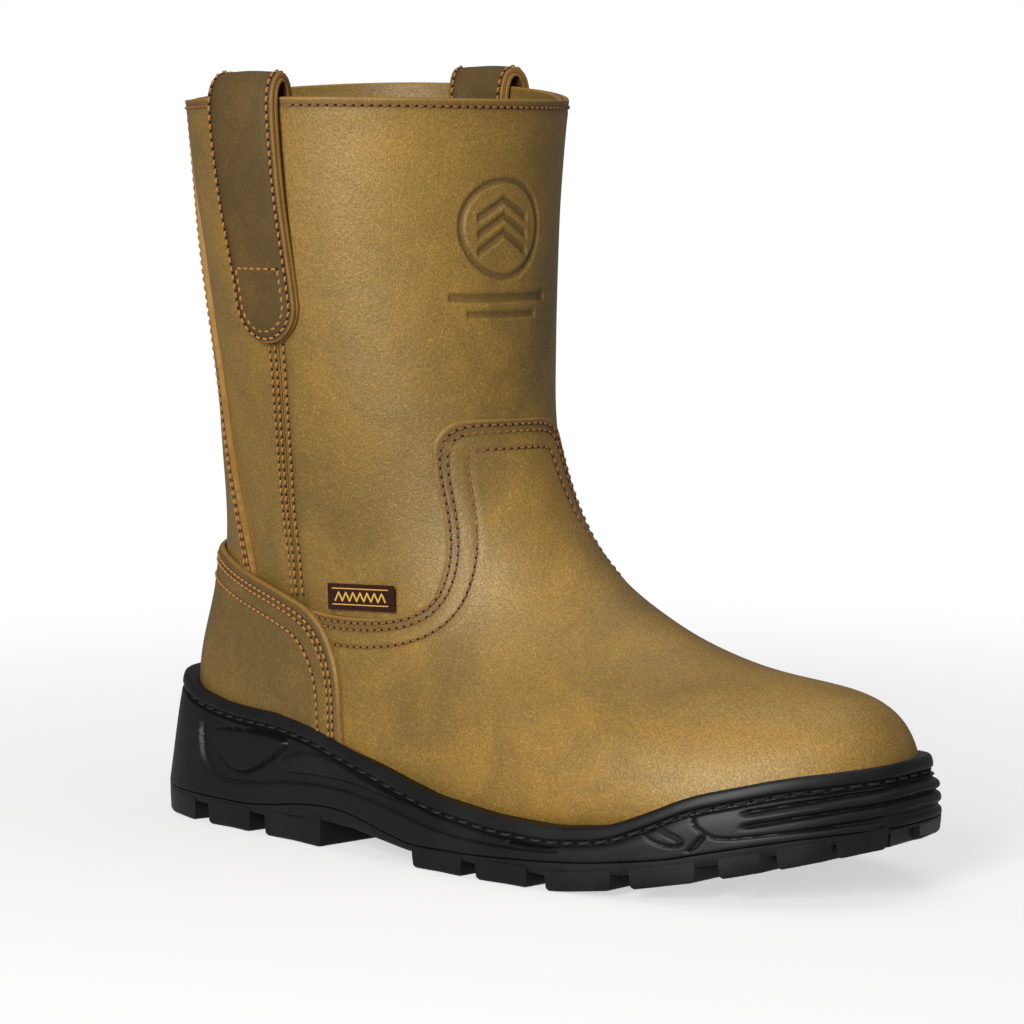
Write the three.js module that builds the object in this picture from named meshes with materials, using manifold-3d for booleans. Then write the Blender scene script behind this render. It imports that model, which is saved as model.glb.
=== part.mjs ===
// Pull-on safety boot, right foot. Millimetres, +X toe, +Y medial, +Z up, sole on z = 0.
import * as THREE from 'three';
import Module from 'manifold-3d';

const wasm = await Module();
wasm.setup();
const { Manifold } = wasm;

// Design frame: x runs from the heel. These offsets centre the finished boot and stand it on z = 0.
const CENTRE_X = 152.45;
const CENTRE_Y = 0;
const GROUND_Z = -2;

// Foot-side surface of the upper (outer face of the linings) as a stack of closed rings.
// xb, xf: back and front of the ring. w: half widths back to front. z: heights back to front.
// n: squareness of the back and front end. c: how far the ring follows the inward bend of the foot.
const RINGS = [
  { xb: 31, xf: 276, w: [20, 12, 58, 22], z: [25.4, 15.8, 12, 27], n: [3.0, 3.0], c: 1.0 },
  { xb: 17, xf: 290, w: [32, 17, 72, 30], z: [27, 16, 12, 28.5], n: [3.3, 3.2], c: 1.0 },
  { xb: 16, xf: 292.8, w: [33, 22, 74, 33], z: [45, 27, 17, 34], n: [3.3, 3.2], c: 1.0 },
  { xb: 17, xf: 291.5, w: [32, 28, 68, 32], z: [60, 41, 28, 47], n: [3.2, 3.0], c: 1.0 },
  { xb: 21, xf: 282, w: [30, 38, 53, 29], z: [76, 58, 42, 59], n: [3.0, 2.6], c: 0.9 },
  { xb: 24, xf: 240, w: [30, 41, 39, 22], z: [94, 77, 58, 61.5], n: [2.7, 2.2], c: 0.7 },
  { xb: 25, xf: 197, w: [35, 45, 35, 24], z: [114, 97, 80, 77], n: [2.3, 2.1], c: 0.4 },
  { xb: 26, xf: 162.5, w: [42, 47, 42, 32], z: [136, 120, 109, 102], n: [2.1, 2.0], c: 0.2 },
  { xb: 28.3, xf: 147, w: [50, 53, 53, 50], z: [162, 154, 150, 144], n: [2, 2], c: 0.0 },
  { xb: 26.3, xf: 146, w: [57, 58, 58, 57], z: [192, 188, 188, 186], n: [2, 2], c: 0.0 },
  { xb: 22.2, xf: 146, w: [61, 62, 62, 61], z: [224, 222, 222, 224], n: [2, 2], c: 0.0 },
  { xb: 17.8, xf: 149, w: [64, 65, 65, 64], z: [255, 256, 256, 255], n: [2, 2], c: 0.0 },
];
const FOOT_BEND = [0, -6, 2, 8];

// Plan outline of the sole, and heights along it as [x, z] stations.
const SOLE_PLAN = { xb: 2.5, xf: 302.5, w: [42.5, 30, 89, 37], z: [0, 0, 0, 0], n: [3.6, 3.3], c: 1.0 };
const RIM_HEIGHT = [
  [-10, 52.5], [8, 49], [24, 44.5], [45, 42], [70, 41.5], [88, 39], [100, 36], [118, 31.5], [135, 27],
  [151, 23], [177, 19.8], [201, 18.8], [222, 21], [237, 27], [250, 33], [277, 39.6], [310, 44.2],
];
const PARTING_HEIGHT = [
  [-10, 8.6], [20, 8.2], [57, 8.1], [70, 9.5], [83, 11.6], [98, 13], [108, 12.6], [116.6, 11.2],
  [130, 8], [142, 5.8], [168, 6.1], [199, 7.7], [215, 8.9], [230, 10.7], [243.7, 12.6], [253, 14.9],
  [268, 18.2], [282, 21], [295, 22.9], [310, 24.5],
];
// Inside its edge the tread unit steps down to this height under the midsole.
const CORE_HEIGHT = [
  [-10, 8.4], [57, 8], [83, 8.8], [98, 9.2], [116, 8.4], [130, 7], [142, 5.4], [168, 5.8], [199, 7.4],
  [230, 10], [253, 12.9], [268, 15], [282, 18], [295, 20.5], [310, 22.5],
];
const TOE_SPRING_START = 200;
const TOE_SPRING_RISE = 20;
const TOE_SPRING_LENGTH = 105;
const TOE_SPRING_POWER = 1.4;
const HEEL_FLARE = 2.8;
const TOE_FLARE = 2.5;

// Layer faces measured outward from the ring surface.
const LINING = [-1.9, -0.4];
const FACING = [-2.0, -0.4];
const INNER_LAYER = [0.5, 2.2];
const MIDDLE_LAYER = [2.9, 4.6];
const COVER_LAYER = [5.3, 6.9];
const SEAM_GAP = 0.0022;
const CUP_CLEAR_VAMP = 5.3;
const CUP_CLEAR_COVER = 7.5;

// Shared rows of v, so stacked layers bend along the same lines.
const LOW_ROWS = [0.03, 0.07, 0.11, 0.16, 0.21, 0.27, 0.33, 0.39];
const QUARTER_ROWS = [
  0.07, 0.11, 0.16, 0.21, 0.27, 0.33, 0.37, 0.41, 0.46, 0.52, 0.58, 0.64, 0.7, 0.76, 0.83, 0.91, 1,
];
const LINING_ROWS = [0.07, 0.11, 0.16, 0.21, 0.27, 0.33, 0.39, 0.45, 0.51, 0.57];
const SHAFT_LINING_ROWS = [0.575, 0.605, 0.64, 0.68, 0.72, 0.77, 0.83, 0.9];

// Panel edges on the ring surface as [u, v] or [v, u] stations.
const SIDE_SEAM = [[0.03, 0.67], [0.3, 0.67], [0.475, 0.656], [0.6, 0.589], [0.68, 0.536], [0.73, 0.51],
  [0.77, 0.495], [1, 0.49]];
const BACKSTAY_EDGE = [[0.43, 0.755], [0.54, 0.75], [0.64, 0.74], [0.71, 0.735], [0.77, 0.745],
  [0.85, 0.78], [0.92, 0.82], [1, 0.84]];
const VAMP_EDGE = [
  [-0.662, 0.452, -0.662], [-0.59, 0.463, -0.60], [-0.5, 0.48, -0.53], [-0.41, 0.503, -0.46],
  [-0.32, 0.54, -0.39], [-0.24, 0.575, -0.32], [-0.18, 0.61, -0.25], [-0.14, 0.65, -0.19],
  [-0.115, 0.69, -0.14], [-0.09, 0.722, -0.095], [-0.03, 0.731, -0.04], [0.04, 0.732, 0.02],
  [0.12, 0.732, 0.08], [0.19, 0.729, 0.13], [0.235, 0.715, 0.17], [0.255, 0.69, 0.21],
  [0.275, 0.655, 0.25], [0.31, 0.618, 0.29], [0.36, 0.58, 0.34], [0.415, 0.54, 0.39],
  [0.48, 0.505, 0.45], [0.55, 0.477, 0.52], [0.61, 0.46, 0.59], [0.662, 0.452, 0.662],
];
const SHAFT_FRONT_EDGE = [
  [-0.68, 0.425], [-0.5, 0.445], [-0.4, 0.47], [-0.31, 0.51], [-0.23, 0.55], [-0.17, 0.59], [-0.1, 0.66],
  [-0.05, 0.69], [0.05, 0.698], [0.15, 0.698], [0.2, 0.67], [0.25, 0.61], [0.3, 0.575], [0.36, 0.54],
  [0.42, 0.495], [0.5, 0.46], [0.6, 0.43], [0.68, 0.425],
];
const COVER_EDGE = [
  [0.618, 0.40], [0.621, 0.435], [0.634, 0.458], [0.665, 0.466], [0.71, 0.468], [0.78, 0.466],
  [0.85, 0.466], [0.93, 0.465], [1, 0.465],
];
const TOE_CAP_BACK_X = 238;

// Notches in the edge of the tread: [x, width, distance from the middle they reach, depth].
const SIDE_NOTCHES = [
  [31, 8, 24, 7], [60, 8, 24, 7], [166, 7, 34, 5], [194.5, 7.5, 34, 5], [225.5, 7, 34, 5],
  [253, 7, 30, 3.6], [271, 5, 24, 3.6],
];

// Heights above the seat of the parts stacked under the foot.
const FILLER = [-4.3, 1.6];
const SHANK = [-0.6, 0.9];
const SHANK_X = [84, 170];
const SHANK_HALF_WIDTH = 9;
const BOARD = [2.4, 4.2];
const FOOTBED_FOAM = [4.6, 9.4];
const FOOTBED_COVER = [9.7, 10.5];
const FOOTBED_INSET = 4;

const STRAP_CENTRE_U = 0.507;
const STRAP_HALF_U = 0.068;
const STRAP_ROUND_END = 14;
// Face of the strap loop that lies against the boot, as [distance from ring surface, height].
const STRAP_PATH = [
  [2.6, 173], [2.6, 177], [2.6, 182], [2.6, 187], [2.6, 194], [3.3, 207], [4.2, 222], [4.6, 238],
  [4.5, 250], [3.6, 257], [1.8, 260.2], [-0.6, 260.8], [-2.6, 258.8], [-3.6, 254], [-3.2, 246],
  [-2.8, 236], [-2.8, 224], [-2.8, 212],
];
const STRAP_BACKING = [0, 1.2];
const STRAP_FACE = [1.5, 3.3];

const LABEL_FACE = 2.9;
const LABEL_LENGTH = 29;
const LABEL_HEIGHT = 9;
const LABEL_THICK = 0.8;
const LABEL_LOW = { u: 0.543, v: 0.491 };

function bernstein(c, t) {
  const s = 1 - t;
  return c[0] * s * s * s + 3 * c[1] * t * s * s + 3 * c[2] * t * t * s + c[3] * t * t * t;
}

function ringPoint(ring, u) {
  const cosine = Math.cos(Math.PI * Math.abs(u));
  const along = (1 + cosine) / 2;
  const power = ring.n[0] + (ring.n[1] - ring.n[0]) * along;
  const end = Math.pow(Math.max(0, 1 - Math.pow(Math.abs(cosine), power)), 1 / power);
  const side = u < 0 ? 1 : -1;
  return new THREE.Vector3(
    ring.xb + (ring.xf - ring.xb) * along,
    side * bernstein(ring.w, along) * end + ring.c * bernstein(FOOT_BEND, along),
    bernstein(ring.z, along),
  );
}

function wrapU(u) {
  if (u > 1) return u - 2;
  if (u < -1) return u + 2;
  return u;
}

// Point on the ring stack: uniform cubic B-spline through the rings, v = 0 sole side, v = 1 topline.
function surfacePoint(u, v) {
  const last = RINGS.length - 1;
  const t = Math.min(Math.max(v, 0), 1) * last;
  const i = Math.min(Math.floor(t), last - 1);
  const f = t - i;
  const weights = [
    Math.pow(1 - f, 3) / 6,
    (3 * f * f * f - 6 * f * f + 4) / 6,
    (-3 * f * f * f + 3 * f * f + 3 * f + 1) / 6,
    (f * f * f) / 6,
  ];
  const point = new THREE.Vector3();
  for (let k = 0; k < 4; k += 1) {
    point.addScaledVector(controlPoint(i + k - 1, wrapU(u)), weights[k]);
  }
  return point;
}

function controlPoint(index, u) {
  const last = RINGS.length - 1;
  if (index < 0) return ringPoint(RINGS[0], u).multiplyScalar(2).sub(ringPoint(RINGS[1], u));
  if (index > last) {
    return ringPoint(RINGS[last], u).multiplyScalar(2).sub(ringPoint(RINGS[last - 1], u));
  }
  return ringPoint(RINGS[index], u);
}

function surfaceNormal(u, v) {
  const h = 0.002;
  let centre = wrapU(u);
  if (Math.abs(centre) > 1 - 2 * h) centre = Math.sign(centre) * (1 - 2 * h);
  if (Math.abs(centre) < 2 * h) centre = 2 * h;
  const across = surfacePoint(centre + h, v).sub(surfacePoint(centre - h, v));
  const up = surfacePoint(centre, Math.min(v + h, 1)).sub(surfacePoint(centre, Math.max(v - h, 0)));
  return up.cross(across).normalize();
}

function layerPoint(u, v, offset) {
  const normal = surfaceNormal(u, v);
  const nearEnd = Math.abs(wrapU(u)) > 0.996 || Math.abs(u) < 0.004;
  if (nearEnd) normal.y = 0;
  return surfacePoint(u, v).addScaledVector(normal.normalize(), offset);
}

// Linear reading of a [station, value] list.
function readTable(table, at) {
  if (at <= table[0][0]) return table[0][1];
  for (let i = 1; i < table.length; i += 1) {
    const [x0, y0] = table[i - 1];
    const [x1, y1] = table[i];
    if (at <= x1) return y0 + ((y1 - y0) * (at - x0)) / (x1 - x0);
  }
  return table[table.length - 1][1];
}

// Smooth walk through a list of rows, t from 0 to 1.
function readCurve(rows, t) {
  const last = rows.length - 1;
  const i = Math.min(Math.floor(t * last), last - 1);
  const f = t * last - i;
  const a = rows[Math.max(i - 1, 0)];
  const b = rows[i];
  const c = rows[i + 1];
  const d = rows[Math.min(i + 2, last)];
  return b.map((value, k) => {
    const slopeB = (c[k] - a[k]) / 2;
    const slopeC = (d[k] - value) / 2;
    const cubic = 2 * value - 2 * c[k] + slopeB + slopeC;
    const square = -3 * value + 3 * c[k] - 2 * slopeB - slopeC;
    return ((cubic * f + square) * f + slopeB) * f + value;
  });
}

function smoothStep(low, high, x) {
  const t = Math.min(Math.max((x - low) / (high - low), 0), 1);
  return t * t * (3 - 2 * t);
}

function makeGeometry(points, faces) {
  let volume = 0;
  const triangles = [];
  for (const face of faces) {
    for (let i = 2; i < face.length; i += 1) triangles.push([face[0], face[i - 1], face[i]]);
  }
  for (const [a, b, c] of triangles) {
    volume += points[a].dot(points[b].clone().cross(points[c]));
  }
  const order = volume < 0 ? [0, 2, 1] : [0, 1, 2];
  const positions = [];
  for (const triangle of triangles) {
    for (const k of order) {
      const p = points[triangle[k]];
      positions.push(p.x - CENTRE_X, p.y - CENTRE_Y, p.z - GROUND_Z);
    }
  }
  const geometry = new THREE.BufferGeometry();
  geometry.setAttribute('position', new THREE.Float32BufferAttribute(positions, 3));
  geometry.computeVertexNormals();
  return geometry;
}

// Closed plate between two faces of a grid; point(i, j, side) with side 0 inside and 1 outside.
function plateGeometry(columns, rows, point, wrapped = false) {
  const points = [];
  const count = wrapped ? columns : columns + 1;
  for (let side = 0; side < 2; side += 1) {
    for (let i = 0; i < count; i += 1) {
      for (let j = 0; j <= rows; j += 1) points.push(point(i, j, side));
    }
  }
  const id = (i, j, side) => side * count * (rows + 1) + (i % count) * (rows + 1) + j;
  const faces = [];
  for (let i = 0; i < columns; i += 1) {
    for (let j = 0; j < rows; j += 1) {
      faces.push([id(i, j, 1), id(i, j + 1, 1), id(i + 1, j + 1, 1), id(i + 1, j, 1)]);
      faces.push([id(i, j, 0), id(i + 1, j, 0), id(i + 1, j + 1, 0), id(i, j + 1, 0)]);
    }
    faces.push([id(i, 0, 1), id(i + 1, 0, 1), id(i + 1, 0, 0), id(i, 0, 0)]);
    faces.push([id(i + 1, rows, 1), id(i, rows, 1), id(i, rows, 0), id(i + 1, rows, 0)]);
  }
  if (!wrapped) {
    for (let j = 0; j < rows; j += 1) {
      faces.push([id(0, j + 1, 1), id(0, j, 1), id(0, j, 0), id(0, j + 1, 0)]);
      faces.push([id(columns, j, 1), id(columns, j + 1, 1), id(columns, j + 1, 0), id(columns, j, 0)]);
    }
  }
  return makeGeometry(points, faces);
}

// Closed body from a run of loops, capped across its first and last loop.
function loftGeometry(loops) {
  const n = loops[0].length;
  const points = loops.flat();
  const faces = [];
  for (let r = 0; r + 1 < loops.length; r += 1) {
    for (let k = 0; k < n; k += 1) {
      const next = (k + 1) % n;
      faces.push([r * n + k, (r + 1) * n + k, (r + 1) * n + next, r * n + next]);
    }
  }
  const top = (loops.length - 1) * n;
  for (let k = 0; k < n / 2; k += 1) {
    const a = k;
    const b = k + 1;
    const c = (n - k - 1) % n;
    const d = (n - k) % n;
    faces.push([...new Set([a, b, c, d])]);
    faces.push([...new Set([top + a, top + d, top + c, top + b])]);
  }
  return makeGeometry(points, faces);
}

function toManifold(geometry) {
  const positions = geometry.getAttribute('position').array;
  const triangles = new Uint32Array(positions.length / 3).map((value, i) => i);
  const vertProperties = new Float32Array(positions);
  const mesh = new wasm.Mesh({ numProp: 3, vertProperties, triVerts: triangles });
  mesh.merge();
  return new Manifold(mesh);
}

function fromManifold(body) {
  const mesh = body.getMesh();
  const geometry = new THREE.BufferGeometry();
  geometry.setAttribute('position', new THREE.Float32BufferAttribute(mesh.vertProperties, 3));
  geometry.setIndex(new THREE.Uint32BufferAttribute(mesh.triVerts, 1));
  const flat = geometry.toNonIndexed();
  flat.computeVertexNormals();
  return flat;
}

function addNode(group, name, geometry, colour, roughness, metalness) {
  const material = new THREE.MeshStandardMaterial({ color: colour, roughness, metalness });
  const mesh = new THREE.Mesh(geometry, material);
  mesh.name = name;
  group.add(mesh);
}

function loopU(k, n) {
  const turn = (2 * k) / n;
  return turn > 1 ? turn - 2 : turn;
}

function planLoop(plan, n, grow, height) {
  const loop = [];
  for (let k = 0; k < n; k += 1) {
    const u = loopU(k, n);
    const p = ringPoint(plan, u);
    const q = ringPoint(plan, wrapU(u + 0.004)).sub(ringPoint(plan, wrapU(u - 0.004)));
    const out = new THREE.Vector3(-q.y, q.x, 0).normalize();
    if (k === 0) out.set(1, 0, 0);
    if (k === n / 2) out.set(-1, 0, 0);
    const outward = Math.sign(out.dot(new THREE.Vector3(p.x - CENTRE_X, p.y, 0))) || 1;
    const x = p.x;
    p.addScaledVector(out, outward * grow(x));
    p.z = height(x);
    loop.push(p);
  }
  return loop;
}

// ---------------------------------------------------------------- upper panels

// The lower rows are shared with the toe cap; above them each column runs up to the panel edge.
function makeVamp() {
  const columns = 36;
  const upperRows = 5;
  const shared = LOW_ROWS.length - 1;
  const top = LOW_ROWS[shared];
  return plateGeometry(columns, shared + upperRows, (i, j, side) => {
    const [uTop, vTop, uLow] = readCurve(VAMP_EDGE, i / columns);
    if (j <= shared) return layerPoint(uLow, LOW_ROWS[j], MIDDLE_LAYER[side]);
    const t = (j - shared) / upperRows;
    return layerPoint(uLow + (uTop - uLow) * t, top + (vTop - top) * t, MIDDLE_LAYER[side]);
  });
}

function shaftFrontLow(s) {
  let v = 0.5;
  for (let step = 0; step < 6; step += 1) v = readTable(SHAFT_FRONT_EDGE, s * readTable(SIDE_SEAM, v));
  return v;
}

function makeShaftFront() {
  const columns = 24;
  const rows = 13;
  return plateGeometry(columns, rows, (i, j, side) => {
    const s = (2 * i) / columns - 1;
    const low = shaftFrontLow(s);
    const v = low + ((1 - low) * j) / rows;
    return layerPoint(s * (readTable(SIDE_SEAM, v) - SEAM_GAP), v, INNER_LAYER[side]);
  });
}

// Back quarter: lies on the lining above, steps out over the heel stiffener below.
function makeQuarter(sideSign) {
  const columns = 6;
  return plateGeometry(columns, QUARTER_ROWS.length - 1, (i, j, side) => {
    const v = QUARTER_ROWS[j];
    const start = readTable(SIDE_SEAM, v) + SEAM_GAP;
    const u = start + ((1 - SEAM_GAP - start) * i) / columns;
    const lift = (MIDDLE_LAYER[side] - INNER_LAYER[side]) * (1 - smoothStep(0.36, 0.42, v));
    return layerPoint(sideSign * u, v, INNER_LAYER[side] + lift);
  });
}

function makeBackstay() {
  const columns = 8;
  const rows = 9;
  return plateGeometry(columns, rows, (i, j, side) => {
    const v = 0.436 + ((0.998 - 0.436) * j) / rows;
    const edge = readTable(BACKSTAY_EDGE, v);
    const u = edge + ((2 - 2 * edge) * i) / columns;
    return layerPoint(u, v, MIDDLE_LAYER[side]);
  });
}

function makeCounterCover() {
  const columns = 22;
  const rows = 7;
  return plateGeometry(columns, rows, (i, j, side) => {
    const s = (2 * i) / columns - 1;
    const [u, vTop] = readCurve(COVER_EDGE, 1 - Math.abs(s));
    const uFull = s < 0 ? u : 2 - u;
    const v = 0.11 + ((vTop - 0.11) * j) / rows;
    return layerPoint(uFull, v, COVER_LAYER[side]);
  });
}

function makeHeelCounter() {
  const columns = 12;
  const rows = 5;
  return plateGeometry(columns, rows, (i, j, side) => {
    const s = (2 * i) / columns - 1;
    const v = LOW_ROWS[j + 1] * (1 - 0.12 * Math.pow(Math.abs(s), 3) * (j / rows));
    return layerPoint(1 + 0.28 * s, v, INNER_LAYER[side]);
  });
}

// v on the toe where the surface comes back to a given x.
function toeBackV(u, x) {
  let low = 0.18;
  let high = 0.5;
  for (let step = 0; step < 30; step += 1) {
    const middle = (low + high) / 2;
    if (surfacePoint(u, middle).x > x) low = middle;
    else high = middle;
  }
  return low;
}

// Columns of the toe cap, the same as the vamp columns above them.
function toeColumn(i) {
  return readCurve(VAMP_EDGE, (i + 9) / 36)[2];
}

function makeToeCap() {
  const columns = 18;
  const shared = 5;
  const upperRows = 3;
  return plateGeometry(columns, shared - 1 + upperRows, (i, j, side) => {
    const u = toeColumn(i);
    if (j < shared) return layerPoint(u, LOW_ROWS[j + 1], INNER_LAYER[side]);
    const t = (j - shared + 1) / upperRows;
    const low = LOW_ROWS[shared];
    const top = Math.max(toeBackV(u, TOE_CAP_BACK_X), 0.3);
    return layerPoint(u, low + (top - low) * t, INNER_LAYER[side]);
  });
}

function makeToeCapStrip() {
  const columns = 18;
  return plateGeometry(columns, 1, (i, j, side) => {
    const u = toeColumn(i);
    const v = Math.max(toeBackV(u, TOE_CAP_BACK_X - 1.6 - 9 * j), 0.312 + 0.045 * j);
    return layerPoint(u, v, [0.5, 1.6][side]);
  });
}

function makeRing(rows, faces) {
  const columns = 40;
  return plateGeometry(columns, rows.length - 1, (i, j, side) => {
    return layerPoint(loopU(i, columns), rows[j], faces[side]);
  }, true);
}

// ---------------------------------------------------------------- pull straps

function shaftPoint(u, z, offset) {
  let low = 0.6;
  let high = 1;
  for (let step = 0; step < 24; step += 1) {
    const middle = (low + high) / 2;
    if (surfacePoint(u, middle).z < z) low = middle;
    else high = middle;
  }
  const point = layerPoint(u, low, offset);
  const over = z - surfacePoint(u, 1).z;
  if (over > 0) point.z = z;
  return point;
}

function strapHalfWidth(z, index) {
  const rise = z - STRAP_PATH[0][1];
  if (index > 8 || rise > STRAP_ROUND_END) return STRAP_HALF_U;
  const t = 1 - Math.max(rise, 0.3) / STRAP_ROUND_END;
  return STRAP_HALF_U * Math.sqrt(1 - t * t);
}

function makeStrap(sideSign, faces) {
  const across = 4;
  const rows = STRAP_PATH.length - 1;
  return plateGeometry(across, rows, (i, j, side) => {
    const [offset, z] = STRAP_PATH[j];
    const before = STRAP_PATH[Math.max(j - 1, 0)];
    const after = STRAP_PATH[Math.min(j + 1, rows)];
    const run = new THREE.Vector2(after[0] - before[0], after[1] - before[1]).normalize();
    const lift = faces[side];
    const u = STRAP_CENTRE_U + strapHalfWidth(z, j) * ((2 * i) / across - 1);
    return shaftPoint(sideSign * u, z - run.x * lift, offset + run.y * lift);
  });
}

// ---------------------------------------------------------------- sole unit

function springHeight(x) {
  const t = Math.max(0, x - TOE_SPRING_START) / TOE_SPRING_LENGTH;
  return GROUND_Z + TOE_SPRING_RISE * Math.pow(t, TOE_SPRING_POWER);
}

function cupClearance(u) {
  return CUP_CLEAR_VAMP + (CUP_CLEAR_COVER - CUP_CLEAR_VAMP) * smoothStep(0.56, 0.61, Math.abs(u));
}

function rimV(u) {
  let low = 0.05;
  let high = 0.45;
  for (let step = 0; step < 24; step += 1) {
    const middle = (low + high) / 2;
    const p = layerPoint(u, middle, cupClearance(u));
    if (p.z < readTable(RIM_HEIGHT, p.x)) low = middle;
    else high = middle;
  }
  return low;
}

function cupRimLoop(n) {
  const loop = [];
  for (let k = 0; k < n; k += 1) {
    const u = loopU(k, n);
    loop.push(layerPoint(u, rimV(u), cupClearance(u)));
  }
  return loop;
}

function cupInnerLoop(n, row) {
  const loop = [];
  for (let k = 0; k < n; k += 1) {
    const u = loopU(k, n);
    const v = Math.min(row, rimV(u) * (0.45 + row * 2));
    loop.push(layerPoint(u, v, cupClearance(u)));
  }
  return loop;
}

// Plan inset for each x: a base amount plus a share of the outward lean of the heel.
function flared(base, share) {
  const heel = (x) => HEEL_FLARE * (1 - smoothStep(12, 80, x));
  const toe = (x) => TOE_FLARE * smoothStep(235, 300, x);
  return (x) => base + share * (heel(x) + toe(x));
}

function makeMidsole() {
  const n = 60;
  const rim = (x) => readTable(RIM_HEIGHT, x);
  const parting = (x) => readTable(PARTING_HEIGHT, x);
  const between = (t, drop) => (x) => parting(x) + (rim(x) - drop - parting(x)) * t;
  const loops = [
    planLoop(SOLE_PLAN, n, () => -9, (x) => readTable(CORE_HEIGHT, x)),
    planLoop(SOLE_PLAN, n, flared(-1, 1), parting),
    planLoop(SOLE_PLAN, n, flared(0, 0.95), (x) => parting(x) + 1.2),
    planLoop(SOLE_PLAN, n, flared(0, 0.4), between(0.5, 6.4)),
    planLoop(SOLE_PLAN, n, flared(-1.2, 0), between(1, 6.4)),
    planLoop(SOLE_PLAN, n, flared(-2.8, 0), between(1, 6.0)),
    planLoop(SOLE_PLAN, n, flared(-2.8, 0), between(1, 4.4)),
    planLoop(SOLE_PLAN, n, flared(-1.4, 0), between(1, 4.0)),
    planLoop(SOLE_PLAN, n, flared(-1.9, 0), between(1, 0.9)),
    planLoop(SOLE_PLAN, n, flared(-2.9, 0), between(1, 0)),
    cupRimLoop(n),
    cupInnerLoop(n, 0.21),
    cupInnerLoop(n, 0.16),
    cupInnerLoop(n, 0.11),
    cupInnerLoop(n, 0.07),
    cupInnerLoop(n, 0.03),
    cupInnerLoop(n, 0),
  ];
  return loftGeometry(loops);
}

function makeSoleThread() {
  const n = 60;
  const sides = 4;
  const centres = planLoop(SOLE_PLAN, n, flared(-1.9, 0), (x) => readTable(RIM_HEIGHT, x) - 5.2);
  const points = [];
  const faces = [];
  for (let k = 0; k < n; k += 1) {
    const run = centres[(k + 1) % n].clone().sub(centres[(k + n - 1) % n]).setZ(0).normalize();
    const out = new THREE.Vector3(-run.y, run.x, 0);
    for (let s = 0; s < sides; s += 1) {
      const a = (2 * Math.PI * s) / sides;
      const p = centres[k].clone().addScaledVector(out, 0.45 * Math.cos(a));
      p.z += 0.45 * Math.sin(a);
      points.push(p);
      const next = (s + 1) % sides;
      const nextRing = ((k + 1) % n) * sides;
      faces.push([k * sides + s, nextRing + s, nextRing + next, k * sides + next]);
    }
  }
  return makeGeometry(points, faces);
}

function cutterPrism(outline, low, high) {
  const shape = new wasm.CrossSection([outline]);
  return shape.extrude(high - low).translate([-CENTRE_X, -CENTRE_Y, low - GROUND_Z]);
}

function bar(x0, y0, x1, y1, width) {
  const run = new THREE.Vector2(x1 - x0, y1 - y0).normalize().multiplyScalar(width / 2);
  return [
    [x0 - run.y, y0 + run.x], [x0 + run.y, y0 - run.x], [x1 + run.y, y1 - run.x], [x1 - run.y, y1 + run.x],
  ];
}

function positive(outline) {
  let area = 0;
  outline.forEach(([x, y], i) => {
    const [nx, ny] = outline[(i + 1) % outline.length];
    area += x * ny - nx * y;
  });
  return area > 0 ? outline : outline.slice().reverse();
}

function treadCutters() {
  const cutters = [];
  const cut = (outline, depth) => {
    const xs = outline.map((p) => p[0]);
    const middle = (Math.min(...xs) + Math.max(...xs)) / 2;
    cutters.push(cutterPrism(positive(outline), GROUND_Z - 2, springHeight(middle) + depth));
  };
  // Notches between the side lugs, angled toward the toe.
  for (const [x, width, reach, depth] of SIDE_NOTCHES) {
    cut(bar(x, -75, x + 5, -reach, width), depth);
    cut(bar(x, 75, x + 5, reach, width), depth);
  }
  // Forefoot: chevron channels across the middle.
  for (let i = 0; i < 6; i += 1) {
    const x = 160 + i * 20;
    cut(bar(x, -26, x + 12, 2, 5), 3.2);
    cut(bar(x + 12, 2, x, 30, 5), 3.2);
  }
  // Heel: a notch across the back and two grooves along the middle.
  cut(bar(-20, 0, 10, 0, 5.5), 7);
  cut(bar(30, -13, 78, -13, 4.5), 4.2);
  cut(bar(30, 13, 78, 13, 4.5), 4.2);
  // Waist: the heel breast and the raised arch.
  cut([[93, -90], [140, -90], [146, -30], [146, 30], [140, 90], [93, 90], [87, 30], [87, -30]], 5);
  cut([[93, -90], [126, -90], [130, -30], [130, 30], [126, 90], [93, 90], [88, 30], [88, -30]], 7.4);
  cut([[93, -90], [113, -90], [115, -30], [115, 30], [113, 90], [93, 90], [89, 30], [89, -30]], 9);
  return cutters;
}

function makeOutsole() {
  const n = 60;
  const loops = [
    planLoop(SOLE_PLAN, n, flared(-0.6, 1), (x) => springHeight(x)),
    planLoop(SOLE_PLAN, n, flared(0.6, 1), (x) => springHeight(x) + 1.4),
    planLoop(SOLE_PLAN, n, flared(-0.2, 1), (x) => readTable(PARTING_HEIGHT, x) - 1.6),
    planLoop(SOLE_PLAN, n, flared(-1.2, 1), (x) => readTable(PARTING_HEIGHT, x) - 0.4),
    planLoop(SOLE_PLAN, n, () => -9, (x) => readTable(CORE_HEIGHT, x) - 1.5),
  ];
  let body = toManifold(loftGeometry(loops));
  for (const cutter of treadCutters()) body = body.subtract(cutter);
  return fromManifold(body);
}

// ---------------------------------------------------------------- parts inside the sole

function insetRing(ring, inset, endInset) {
  return {
    xb: ring.xb + endInset,
    xf: ring.xf - endInset,
    w: ring.w.map((value) => value - inset),
    z: ring.z,
    n: ring.n,
    c: ring.c,
  };
}

// Height of the seat that the upper is lasted round, for any x.
function seatHeight(x) {
  const ring = RINGS[1];
  return bernstein(ring.z, (x - ring.xb) / (ring.xf - ring.xb));
}

function slabOnSeat(ring, low, high) {
  const at = (dz) => planLoop(ring, 36, () => 0, (x) => seatHeight(x) + dz);
  return loftGeometry([at(low), at(high)]);
}

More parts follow.
